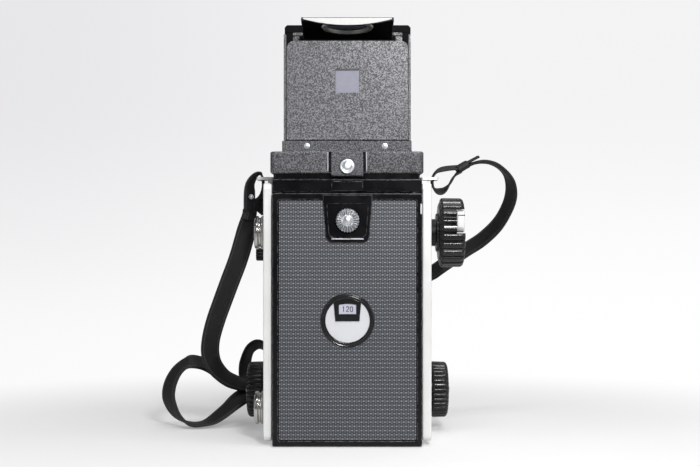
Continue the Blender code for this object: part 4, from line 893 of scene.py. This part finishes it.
def film_mark():
    """The film mark: a ridged ring, a white face, a black surround and a window with the film's number."""
    (out, back), (cx, cz), r = turned("film_type_ring", "Y")
    rows = [(0.3, r - 2.6), (0, r - 2.1), (0, r - 1.5), (0.25, r - 1.1), (0.05, r - 0.6), (0.6, r)]
    ring = [(back, r - 2.6), *from_end(out, rows), (back, r)]
    wear(lathe("mark_ring", "Y", (cx, cz), ring, 0.18, 120, closed=True), PLASTIC, "door", "film_type_ring")
    face_y = spans("film_type_plate")[1]
    face = slab("mark_face", "Y", face_y, circle(cx, cz, r - 2.5, 96), 0.15)
    wear(face, ENAMEL, "door", "film_type_plate")
    foot, reach = cz - 0.4, r - 2.55
    crown_right, crown_left, foot_right, foot_left = 7.2, 7.4, 6.3, 6.5
    turn = np.linspace(math.acos(crown_right / reach), math.pi - math.acos(crown_left / reach), 17)
    crown = np.stack([cx + reach * np.cos(turn), cz + reach * np.sin(turn)], axis=1)
    surround = np.concatenate([crown, [(cx - foot_left, foot), (cx + foot_right, foot)]])
    hole_low, hole_high, hole_half, hole_arch = cz + 3.4, cz + 8.3, 4.55, 0.55
    arch = np.linspace(1, -1, 9)
    window = np.stack([cx + hole_half * arch, hole_high + hole_arch * (1 - arch**2)], axis=1)
    window = np.concatenate([window, [(cx - hole_half, hole_low), (cx + hole_half, hole_low)]])
    plate_y = (face_y[0] - 0.35, face_y[0] + 0.2)
    plate = slab("mark_surround", "Y", plate_y, resample(surround, 96), 0.08, hole=resample(window, 96))
    wear(plate, PLASTIC, "door")
    pane = slab("mark_window", "Y", (face_y[0] - 0.05, face_y[0] + 0.25), inset(window, -0.3), 0.02)
    wear(pane, CARD, "door")
    number_at = (cx, face_y[0] - 0.15, (hole_low + hole_high) / 2 + 0.2)
    strokes("film_number", "120", number_at, height=2.7, finish=INK, body="door", wide=0.15)


def carve(obj, cutter):
    """Takes the cutter's volume out of a piece and removes the cutter."""
    change = obj.modifiers.new("cut", "BOOLEAN")
    change.object = cutter
    change.solver = "EXACT"
    bpy.context.view_layer.update()
    graph = bpy.context.evaluated_depsgraph_get()
    mesh = bpy.data.meshes.new_from_object(obj.evaluated_get(graph))
    obj.modifiers.clear()
    obj.data = mesh
    mesh.set_sharp_from_angle(angle=math.radians(40))
    bpy.data.objects.remove(cutter)
    return flat_normals(obj)


def wind_knob():
    """A broad-ribbed knob with a collar behind it and a way for the crank that folds into its end."""
    (near, far), axis, r = turned("wind_knob", "X")
    hub_r = 0.55 * r
    inside = [
        (0, 0), (0, hub_r), (1.2, hub_r), (1.3, r - 3.6), (1.7, r - 2.7), (2.1, r - 2.4),
        (2.3, r - 0.8, 0.8), (3.0, r, 1.4),
    ]
    outside = [
        (1.8, r - 0.1, 1.4), (0.5, r - 0.9, 1.0), (0, r - 2.4, 0.2), (0, r - 4.5), (0.3, r - 5.0), (0.3, 0),
    ]
    profile = from_end(near, inside) + from_end(far, outside, -1)
    knob = lathe("ribbed_wind_knob", "X", axis, profile, 0.35, 12, ribs=24, sharp=5.0)
    crank_x, crank_y, crank_z = spans("wind_crank")
    way = 0.45
    slot = rounded((crank_x[0] - way, far + 3.0), (crank_z[0] - way, crank_z[1] + way), 0.3)
    knob = carve(knob, slab("crank_way", "Y", (axis[0] - r - 2, axis[0] + r + 2), slot, 0.1))
    wear(knob, PLASTIC, "winder", "wind_knob")
    arm = slab("crank_arm", "X", crank_x, rounded(crank_y, crank_z, 3.2), 0.8, 4)
    wear(arm, SILVER, "crank", "wind_crank")
    notch_x = (crank_x[0] + 0.4, crank_x[1] + 0.05)
    notch_y, notch_z = (crank_y[0] - 0.08, crank_y[0] + 9.0), (crank_z[1] - 3.2, crank_z[1] - 2.4)
    wear(slab("crank_notch", "X", notch_x, rounded(notch_y, notch_z, 0.3), 0.1), INK, "crank")


def focus_knobs():
    """The two focus knobs: ribbed rims, dished ends and a screw in each."""
    for side, node in ((-1, "left_focus_knob"), (1, "right_focus_knob")):
        x, axis, r = turned(node, "X")
        near, far = sorted(x, key=abs)
        rows = [
            (0, 0), (0, r - 3.2), (0.5, r - 2.6), (1.2, r - 2.5), (1.6, r - 2.9), (1.8, r - 0.6, 0.5),
            (2.4, r, 0.95), (9.2, r - 0.2, 0.95), (10.2, r - 0.9, 0.7), (10.8, r - 2.2), (11.1, r - 4.4),
            (10.6, r - 5.0), (10.6, 5.2), (11.5, 4.6), (11.8, 3.4), (11.8, 0),
        ]
        profile = from_end(near, rows, side)
        knob = lathe(f"{node}_ribbed", "X", axis, profile, 0.3, 10, ribs=34, sharp=2.5)
        wear(knob, PLASTIC, "focus_knobs", node)
        screw = slotted(f"{node}_screw", "X", axis, base=far - side * 0.2, height=side * 0.7, radius=2.6)
        wear(screw, STEEL, "focus_knobs")


def slotted(name, axis, centre, base, height, radius):
    """A cheese-head screw with a slot across it."""
    reach = radius + 1.0
    wide = radius * 0.16
    head = dome(name, axis, centre, base, height, radius)
    lo, hi = sorted((base + 0.35 * height, base + 2.0 * height))
    cutter = rounded((centre[0] - wide, centre[0] + wide), (centre[1] - reach, centre[1] + reach), 0.05)
    return carve(head, slab(name + "_slot", axis, (lo, hi), cutter, 0.02))


def side_knobs():
    """The two spool knobs and the lens lock on the left side."""
    near = -45.3
    for node, body in (("upper_spool_knob", "upper_knob"), ("lower_spool_knob", "lower_knob")):
        (far, _), axis, r = turned(node, "X")
        inside = [
            (0, 0), (0, r - 1.2), (0.3, r - 0.3), (1.4, r), (1.8, r - 0.5), (2.0, r - 1.0),
            (2.9, r - 1.0), (3.1, r - 0.5), (3.4, r),
        ]
        outside = [(0.8, r - 0.1), (0.2, r - 0.6), (0, r - 1.4), (0, r - 3.2), (0.5, r - 3.7), (0.5, 0)]
        profile = from_end(near, inside, -1) + from_end(far, outside)
        knob = lathe(f"{node}_turned", "X", axis, profile, 0.2, 96)
        wear(knob, TURNED, body, node)
    (far, _), axis, r = turned("lens_lock_knob", "X")
    stem, head, stem_r = -37.0, far + 4.7, 1.8
    neck = [(0.4, stem_r), (0, 2.6), (0, r - 0.4, 0.3), (-0.4, r, 0.6)]
    outside = [(0.5, r, 0.6), (0, r - 0.6, 0.3), (0, 1.6), (0.3, 1.2), (0.3, 0)]
    profile = [(stem, 0), (stem, stem_r)] + from_end(head, neck) + from_end(far, outside)
    knob = lathe("lens_lock_serrated", "X", axis, profile, 0.15, 14, ribs=12, sharp=1.2)
    wear(knob, PLASTIC, "lens_lock", "lens_lock_knob")


def hood_seat():
    """The hood's base: a rounded collar on a dark plinth, the rear block with painted shade and highlight
    for its grooves, and the button.
    """
    x, y, z = spans("hood_base")
    block_x, block_out = (-8.6, 8.4), y[0]
    rear, top = y[0] + 1.6, z[1] + 1.2
    strip_out = spans("hood_frame")[1][0] - 0.4
    well_x, well_y = (-33.5, 33.5), (-28.0, 36.5)
    well = rounded(well_x, well_y, 1.5)
    collar = slab("hood_collar", "Z", (z[0] + 2.8, top), rounded(x, (rear, y[1]), 2.5), 1.1, 5, hole=well)
    wear(collar, SHADED_WRINKLE, "camera_body", "hood_base")
    # The plinth's black is its paint and also painted shade for the gap under the collar.
    plinth = rounded((x[0] + 1.6, x[1] - 1.9), (rear + 1.6, y[1] - 1.6), 2.0)
    plinth = slab("hood_plinth", "Z", (z[0], z[0] + 3.8), plinth, 0.3, hole=well)
    wear(plinth, BLACK, "camera_body")
    (face, inner), axis, r = turned("hood_lock_button", "Y")
    block_in, crest = rear + 2.5, top + 0.4
    side = [
        (block_in, z[0] + 1.0), (block_out, z[0] + 1.3), (block_out, top - 2.0),
        (strip_out, crest), (block_in, crest),
    ]
    block = slab("hood_block", "X", block_x, soften(side, 0.9, 4, closed=True)[::-1], 0.6, 4)
    hole = circle(*axis, r + 0.3, 48)
    block = carve(block, slab("button_way", "Y", (block_out - 2.0, rear + 4.0), hole, 0.05))
    wear(block, SHADED_WRINKLE, "camera_body")
    # Painted shade and highlight: no groove is cut; a dark strip stands for each groove's shade and a pale
    # tube beside it for the highlight on its edge.
    groove_wide = 1.5
    for k, (groove_x, side_x) in enumerate(((block_x[0], -1), (block_x[1], 1))):
        groove = sorted((groove_x - 0.1 * side_x, groove_x + groove_wide * side_x))
        groove = rounded(groove, (z[0] + 3.4, top - 0.2), 0.3)
        wear(slab(f"block_groove_shade_{k}", "Y", (rear - 0.06, rear + 0.6), groove, 0.04), DULL, "camera_body")
        bead_x = groove_x + (groove_wide + 0.25) * side_x
        bead = [(bead_x, rear + 0.05, t) for t in np.linspace(z[0] + 3.6, top - 0.4, 12)]
        wear(tube(f"groove_bead_{k}", bead, 0.3), PAINTED_HIGHLIGHT, "camera_body")
    rows = [
        (0.9, r), (0.5, r - 0.4), (0.5, r - 0.9), (0.95, r - 1.2), (0.95, r - 1.5), (0.2, r - 1.9),
        (0, r * 0.3), (0, 0),
    ]
    profile = [(inner, 0), (inner, r), *from_end(face, rows)]
    button = lathe("hood_button_turned", "Y", axis, profile, 0.15, 72)
    wear(button, DIAL, "hood_button", "hood_lock_button")


def ring_points(centre, radius, outline, count):
    """A circle whose points lie in the same directions as evenly spaced points of an outline round it."""
    away = resample(outline, count) - np.array(centre)
    return np.array(centre) + radius * away / np.linalg.norm(away, axis=1, keepdims=True)


def hood_back():
    """The rear leaf with its window and hinge, on a strip with two rivets."""
    x, y, z = spans("hood_frame")
    strip_y, strip_x, strip_z = y[0], (x[0] + 0.1, x[1] - 0.3), (157.0, 162.8)
    strip = slab("hood_strip", "Y", (strip_y - 0.25, strip_y + 0.9), rounded(strip_x, strip_z, 0.7), 0.35)
    wear(strip, SHADED_WRINKLE, "camera_body")
    rivets_x, rivet_z, rivet_y = (-21.6, 20.0), 160.1, strip_y - 0.2
    for k, rivet_x in enumerate(rivets_x):
        place = (rivet_x, rivet_z)
        rivet = dome(f"strip_rivet_{k}", "Y", place, rivet_y, height=-0.7, radius=1.3, flange=0.25)
        wear(rivet, DIAL, "camera_body")
    x, y, z = spans("rear_hood_panel")
    hinge_z, knuckles, gap = 163.9, 8, 0.25
    hinge = (middle(y), hinge_z)
    ends = [x[0] + 0.3 + k * (x[1] - x[0] - 0.6) / knuckles for k in range(knuckles + 1)]
    pin_r, hinge_r = 0.75, 0.95
    barrel = []
    for start, end in zip(ends, ends[1:]):
        barrel += [(start, pin_r), (start + 0.1, hinge_r), (end - gap, hinge_r), (end - gap + 0.1, pin_r)]
    barrel = [(barrel[0][0], 0), *barrel, (barrel[-1][0], 0)]
    wear(lathe("hood_back_hinge", "X", hinge, barrel, 0.1, 20), WRINKLE, "rear_panel")
    outline = np.concatenate([rounded(x, z, 4.0)[:14], rounded(x, z, 0.6)[14:]])
    window_x, window_z, shade_x, shade_z = (-6.3, 6.3), (188.7, 201.3), (-6.2, 6.2), (200.5, 201.25)
    window = rounded(window_x, window_z, 0.8)
    leaf = slab("hood_back_leaf", "Y", y, outline, 0.3, hole=window)
    wear(leaf, WRINKLE, "rear_panel", "rear_hood_panel")
    pane = slab("hood_window", "Y", (y[0] + 0.3, y[1] - 0.1), inset(window, -0.4), 0.05)
    wear(pane, PANE, "rear_panel")
    # Painted shadow: a dark band across the top of the window for the shade under its upper edge.
    band = slab("window_top_shadow", "Y", (y[0] + 0.1, y[0] + 0.35), rounded(shade_x, shade_z, 0.2), 0.05)
    wear(band, INK, "rear_panel")


MAGNIFIER_AXIS = (32.0, 228.4)
MAGNIFIER_TILT = -5.0


def tilted(obj):
    """Turns a piece of the magnifier about the line where it hinges on the lid."""
    there = Matrix.Translation((0, MAGNIFIER_AXIS[0] * MM, MAGNIFIER_AXIS[1] * MM))
    obj.data.transform(there @ Matrix.Rotation(math.radians(MAGNIFIER_TILT), 4, "X") @ there.inverted())
    return obj


def magnifier():
    """The folding lens: a plate with a bowed lip, a white crescent on the lip as a painted reflection, a
    chromed ring and a domed glass.
    """
    y, z = MAGNIFIER_AXIS
    half, long, lens_r = 25.8, 41.9, 12.6
    centre = y - 0.65 * long
    near = y - long
    outline = rounded((-half, half), (near, y + 0.9), 1.5)
    hole = ring_points((0, centre), lens_r + 0.3, outline, 96)
    plate = slab("magnifier_plate", "Z", (z - 0.7, z + 0.7), resample(outline, 96), 0.3, hole=hole)
    wear(tilted(plate), BLACK, "magnifier", "magnifier_frame")
    across = np.linspace(1, -1, 41)
    for name, wide, high, low, deep, span, finish in (
        ("magnifier_lip", half - 0.2, 0.75, 0.6, 3.3, (near - 0.9, near + 0.4), BLACK),
        # Painted reflection: the white crescent on the lip's rear face stands for the light it reflects.
        ("magnifier_lip_reflection", half - 1.2, 0.45, 0.2, 3.4, (near - 1.05, near - 0.7), MARKING),
    ):
        upper = np.stack([across * wide, np.full(len(across), z + high)], axis=1)
        lower = np.stack([-across * wide, z - low - deep * (1 - across**2)], axis=1)
        wear(tilted(slab(name, "Y", span, np.concatenate([upper, lower]), 0.1)), finish, "magnifier")
    rows = [
        (-1.5, lens_r - 0.6), (-1.5, lens_r + 1.4), (-0.6, lens_r + 2.1),
        (0.6, lens_r + 2.1), (1.1, lens_r - 0.3),
    ]
    ring = from_end(z, rows)
    wear(tilted(lathe("magnifier_ring", "Z", (0, centre), ring, 0.2, 96, closed=True)), RING, "magnifier")
    cap = np.linspace(0, 1, 12)
    glass = [(z - 0.5 - 0.7 * (1 - t**2), (lens_r - 0.4) * t) for t in cap]
    glass += [(z + 0.5 + 0.7 * (1 - t**2), (lens_r - 0.4) * t) for t in cap[::-1]]
    lens = lathe("magnifier_glass", "Z", (0, centre), glass, 0.02, 72)
    wear(tilted(lens), HAND_GLASS, "magnifier", "magnifier_lens")


def bellows():
    """Pleats: the outline drawn in by a triangle wave along Y, four folds from the case to the standard."""
    x, y, z = spans("bellows")
    folds, depth, rows = 4, 2.4, 6
    t = np.linspace(0, 1, folds * rows * 2 + 1)
    wave = np.abs(((t * folds) % 1.0) * 2 - 1)
    outline = rounded(x, z, 4.0)
    at, drawn_in, thick = y[0] + (y[1] - y[0]) * t, depth * (1 - wave), 0.8
    rows = [in_space("Y", inset(outline, by), s) for by, s in zip(drawn_in, at)]
    rows += [in_space("Y", inset(outline, by + thick), s) for by, s in zip(drawn_in[::-1], at[::-1])]
    grid = np.stack(rows)
    marks = {"edge": np.concatenate([wave, wave[::-1]])[:, None]}
    cloth = surface("pleats", grid, marks, wrap=(True, True))
    cloth.data.materials.append(CLOTH.material)
    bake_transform(cloth)
    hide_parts("bellows")


def grip(name, axis, r, start, rim, ribs):
    """A ribbed ring round a lens barrel, near its rim."""
    low, land, deep = r - 0.5, r + 0.15, 0.35
    rows = [(start, low), (start + 0.2, land, deep), (rim - 1.6, land, deep), (rim - 1.4, low)]
    ring = lathe(name, "Y", axis, rows, 0.1, 6, ribs=ribs, sharp=1.2, closed=True)
    wear(ring, BLACK, "front")


def lens_barrels():
    """The two lenses: stepped barrels, ribbed rings, domed glass and the marks on the shutter's face."""
    seat = 49.8
    _, (back, rim), z = spans("viewing_lens_barrel")
    axis, r = (0.0, middle(z)), 18.5
    barrel = [(back, r - 6.0), (back, r - 2.5)]
    barrel += from_end(seat, [(0, r - 2.5), (0, r + 0.3), (2.2, r + 0.3), (2.3, r - 1.0)])
    barrel += from_end(seat, [(8.0, r - 1.0), (8.2, r - 0.7), (15.9, r - 0.7), (16.2, r)])
    mouth = [(0, r), (0, r - 1.4), (0.6, r - 2.4), (1.7, r - 4.3), (7.2, r - 4.3), (7.4, r - 6.0)]
    piece = lathe("viewing_barrel", "Y", axis, barrel + from_end(rim, mouth, -1), 0.25, 120, closed=True)
    wear(piece, BLACK, "front", "viewing_lens_barrel")
    grip("viewing_grip", axis, r, seat + 17.4, rim, 72)
    crown("viewing_glass", "viewing_lens_glass", axis, VIEW_GLASS)
    _, (back, rim), z = spans("shutter_housing")
    axis, r, shutter_r = (0.0, middle(z)), 20.0, 26.5
    housing = [(back, r - 5.0), (back, r - 2.9)]
    housing += from_end(seat, [(0, r - 2.9), (0, shutter_r - 0.4), (1.9, shutter_r), (8.1, shutter_r)])
    housing += from_end(seat, [(9.1, shutter_r - 1.0), (9.1, r - 2.0), (17.6, r - 2.0), (17.6, r)])
    mouth = [(0, r), (0, r - 1.2), (0.5, r - 2.2), (1.5, r - 3.8), (7.0, r - 3.8), (7.0, r - 5.0)]
    piece = lathe("shutter_barrel", "Y", axis, housing + from_end(rim, mouth, -1), 0.25, 144, closed=True)
    wear(piece, BLACK, "front", "shutter_housing")
    grip("taking_grip", axis, r, rim - 6.6, rim, 80)
    crown("taking_glass", "taking_lens_glass", axis, TAKE_GLASS)
    (_, outer), (a, b), _ = spans("speed_ring")
    bore = r - 1.7
    ring = from_end(a, [(0, bore), (0, outer - 0.4, 0.3), (0.4, outer, 0.7)])
    ring += from_end(b, [(0.4, outer, 0.7), (0, outer - 0.5, 0.3), (0, bore)], -1)
    piece = lathe("speed_ring_ribbed", "Y", axis, ring, 0.15, 10, ribs=30, sharp=2.0, closed=True)
    wear(piece, CHROME, "speed_ring", "speed_ring")
    (tab_end, _), (a, b), _ = spans("aperture_ring")
    outer = 21.8
    ring = [(a, bore), (a, outer - 0.3), (a + 0.3, outer), (b - 0.3, outer), (b, outer - 0.4), (b, bore)]
    piece = lathe("aperture_ring_turned", "Y", axis, ring, 0.15, 120, closed=True)
    wear(piece, BLACK, "aperture_ring", "aperture_ring")
    tab_root, tab_half = -20.5, 2.5
    tab = rounded((tab_end, tab_root), (axis[1] - tab_half, axis[1] + tab_half), 1.2)
    wear(slab("aperture_tab", "Y", (a + 0.5, b - 0.5), tab, 0.4), BLACK, "aperture_ring")
    ticks, tick_wide, tick_turn, tick_span = 11, 0.12, 12, (19.2, 20.9)
    for k in range(ticks):
        line = spoke(axis, b, math.radians(90 + tick_turn * (k - ticks // 2)), *tick_span)
        wear(tube(f"aperture_tick_{k}", line, tick_wide, 6), MARKING, "aperture_ring")


def crown(name, node, axis, finish):
    """A lens: a flat back, a ground rim and a front whose height falls with the square of the radius."""
    (back, front), _, r = turned(node, "Y")
    bulge = 2.2
    edge = front - bulge
    t = np.linspace(1, 0, 14)
    profile = [(back, 0), (back, r), (edge, r), *((edge + bulge * (1 - s**2), r * s * 0.995) for s in t)]
    wear(lathe(name, "Y", axis, profile, 0.05, 96), finish, "front", node)


def front_plates():
    """Screws on the lens panel."""
    x, y, z = spans("lens_panel")
    inset_by, waist = 4.2, 87.0
    columns, rows = (x[0] + inset_by, x[1] - inset_by), (z[0] + inset_by, waist, z[1] - inset_by)
    for k, place in enumerate((a, b) for a in columns for b in rows):
        screw = slotted(f"panel_screw_{k}", "Y", place, base=y[1] - 0.1, height=0.6, radius=1.5)
        wear(screw, STEEL, "front")


def both_ends(span, rows):
    """A profile with the same rows at both ends."""
    return from_end(span[0], rows) + from_end(span[1], rows[::-1], -1)


def film_path():
    """The rollers and the take-up spool, with turned ends."""
    for node, body in (("upper_roller", "roller_upper"), ("lower_roller", "roller_lower")):
        x, axis, r = turned(node, "X")
        pin = r * 0.45
        profile = both_ends(x, [(0, 0), (0, pin), (1.6, pin), (1.6, r), (3.4, r), (3.6, r - 0.3)])
        wear(lathe(f"{node}_turned", "X", axis, profile, 0.15, 48), STEEL, body, node)
    x, axis, r = turned("take_up_spool", "X")
    core = 5.6
    rows = [(0, 0), (0, r - 0.3), (0.3, r), (0.9, r), (1.2, r - 0.3), (1.2, core + 0.6), (1.6, core)]
    spool = lathe("spool_turned", "X", axis, both_ends(x, rows), 0.15, 72)
    wear(spool, PLASTIC, "take_up", "take_up_spool")


def strap_fittings():
    """The sleeves where the strap meets its loops, the free end at the right and the rivet at the left."""
    sleeve_wide, sleeve_thick, tail_thick = STRAP_WIDE + 0.8, 4.4, 1.4
    left = beside(-1, [(9.9, 0.6, -13.2), (10.1, 1.0, -16.0), (10.7, 1.4, -18.8)], (0.5, 0.86, -0.1), HEAD)
    fitting("left_sleeve", left, sleeve_wide - 1.0, sleeve_thick)
    right = beside(1, [(16.8, 2.0, 8.6), (19.5, 2.2, 10.4), (22.3, 2.4, 12.0)], (0, 1, 0.05), HEAD)
    fitting("right_sleeve", right, sleeve_wide, sleeve_thick)
    tail = beside(1, [(20.2, 2.0, 11.8), (24.4, 2.0, 13.9), (28.7, 2.0, 16.2)], (0, 1, 0.05), HEAD)
    fitting("right_tail", tail, LOOP_WIDE, tail_thick)
    rivet_at, rivet_y = (-53.6, 133.8), -6.0
    rivet = dome("strap_rivet", "Y", rivet_at, rivet_y, height=-0.7, radius=1.1, flange=0.3)
    wear(rivet, STEEL, "camera_body")


def lid_edge():
    """A dull band along the lid's top, and in each corner a pale plate with an arm bent to a hook."""
    x, y, z = spans("hood_lid")
    face = y[1] - 1.2
    band_low = z[1] - 4.4
    band = rounded((x[0] + 0.6, x[1] - 0.6), (band_low, z[1] - 0.3), 0.8)
    wear(slab("lid_band", "Y", (face - 0.35, face + 0.2), band, 0.2), DULL, "lid")
    arm_z, plate_low = band_low - 1.9, band_low - 7.0
    plate_in, plate_out, hook_in, reach = 26.5, 32.3, 27.5, 33.2
    for name, side in (("left", -1), ("right", 1)):
        plate_x = sorted((side * plate_in, side * plate_out))
        plate = rounded(plate_x, (plate_low, band_low), 0.5)
        wear(slab(f"lid_plate_{name}", "Y", (face - 0.1, face + 0.1), plate, 0.05), WRINKLE, "lid")
        hook = [(hook_in, arm_z), (reach, arm_z), (reach, plate_low + 0.8)]
        line = [(side * a, face + 0.1, b) for a, b in soften(hook, 2.0, 6)]
        wear(tube(f"lid_hook_{name}", line, 0.4), DULL, "lid")


def kept_nodes():
    """Finishes for the CAD nodes that stay as they are."""
    enamelled = ("back_door", "top_deck", "film_chamber", "front_frame", "lens_panel", "wind_shaft")
    enamelled += ("hood_frame", "film_number_disc")
    steel = ("door_hinge_pin", "focus_shaft", "latch_bolt", "tripod_socket")
    finishes = [(black_paint(node), node) for node in enamelled] + [
        (DULL, "hood_lid"),
        (WRINKLE, "left_blind", "right_blind"),
        (SILVER, "base_plate", "front_standard", "left_strap_lug", "right_strap_lug"),
        (STEEL, *steel, "pressure_plate", "cocking_lever"),
        (BRASS, "left_focus_rack", "right_focus_rack"),
        (MIRROR, "reflex_mirror"),
        (SCREEN, "focusing_screen"),
    ]
    for finish, *nodes in finishes:
        for node in nodes:
            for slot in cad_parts[node].material_slots:
                slot.material = finish.material


case()
back_cover()
latch()
film_mark()
wind_knob()
focus_knobs()
side_knobs()
hood_seat()
hood_back()
magnifier()
bellows()
lens_barrels()
front_plates()
film_path()
strap_fittings()
lid_edge()
kept_nodes()


# The floor and the light.
def sweep():
    """A pale floor that bends up into a backdrop: flat to the bend, a quarter circle, then upright. Near
    the object it is lit and keeps the shadow; away from it, it fades to a plain glow, with painted shade
    that makes it a little greyer up and to the left."""
    near, bend_y, bend, rise, reach = -1500.0, 620.0, 420.0, 1500.0, 1700.0
    turn = np.linspace(0, math.pi / 2, 17)
    y = np.concatenate([[near, -400.0, 200.0], bend_y + bend * np.sin(turn), [bend_y + bend]])
    z = np.concatenate([[0.0, 0.0, 0.0], bend - bend * np.cos(turn), [rise]])
    x = np.linspace(-reach, reach, 5)
    grid = np.stack(np.broadcast_arrays(x[None], y[:, None], z[:, None]), axis=-1)
    backdrop = surface("backdrop", grid, wrap=(False, False), ends=(False, False))
    f = Finish("backdrop", None, Specular_IOR_Level=0.1)
    mottle = f.place.noise(0.01, 2)
    f.set(
        Base_Color=mottle.mix((0.87, 0.87, 0.875), (0.90, 0.90, 0.905)),
        Roughness=0.7 + 0.1 * f.place.noise(0.2, 2),
    )
    tree = f.material.node_tree
    across, deep, up = (f.place.axis(k) for k in range(3))
    pool_wide, pool_deep, pool_y, least_glow = 330.0, 260.0, 20.0, 0.28
    a, b = across / pool_wide, (deep - pool_y) / pool_deep
    away = ((a * a + b * b) ** 0.5).ramp(0.4, 1.2) * (1 - least_glow) + least_glow
    # Painted shade: the glow is made greyer up and to the left.
    upper = up.ramp(-20.0, 320.0)
    left = across.ramp(200.0, -500.0) * (0.4 + 0.6 * up.ramp(-60.0, 120.0))
    grey = 0.5 * upper + 0.5 * left
    tone = grey.mix((1.0, 1.0, 1.0), (0.80, 0.80, 0.815))
    rays = tree.nodes.new("ShaderNodeLightPath").outputs
    seen = Wire(tree, rays["Is Camera Ray"]).most(Wire(tree, rays["Is Glossy Ray"]) * 0.3)
    dim = grey.mix((0.26, 0.26, 0.26), (0.21, 0.21, 0.214))
    glow = f.place.make("ShaderNodeEmission", {"Color": seen.mix(dim, tone)})
    mixed = f.place.make("ShaderNodeMixShader", {0: away, 1: Wire(tree, f.shader.outputs[0]), 2: glow})
    tree.links.new(mixed.socket, tree.nodes["Material Output"].inputs["Surface"])
    backdrop.data.materials.append(f.material)


LIT = (0, 0, 110.0)


def stage():
    """Soft boxes above and beside the view, all aimed at one point, over a dim surround."""
    sweep()
    boxes = (
        ("key light", (112, -560, 350), (100, 100), 2.6),
        ("soft box", (520, -1150, 640), (760, 600), 0.9),
        ("top light", (240, 60, 940), (900, 600), 2.4),
        ("strip light", (160, -330, 860), (700, 110), 3.0),
        ("left light", (-820, -420, 420), (300, 620), 1.4),
        ("right light", (860, -260, 330), (300, 620), 1.2),
    )
    for name, place, size, power in boxes:
        data = bpy.data.lights.new(name, "AREA")
        data.shape = "RECTANGLE"
        data.size, data.size_y = (s * MM for s in size)
        data.energy = power
        light = bpy.data.objects.new(name, data)
        bpy.context.scene.collection.objects.link(light)
        light.location = [p * MM for p in place]
        aim = np.array(LIT) - np.array(place, float)
        light.rotation_euler = Vector(aim).to_track_quat("-Z", "Y").to_euler()
    world = bpy.data.worlds.new("surround")
    bpy.context.scene.world = world
    world.use_nodes = True
    world.node_tree.nodes["Background"].inputs["Color"].default_value = (0.05, 0.05, 0.053, 1)
    bpy.context.scene.view_settings.view_transform = "Standard"


stage()
bpy.context.view_layer.update()
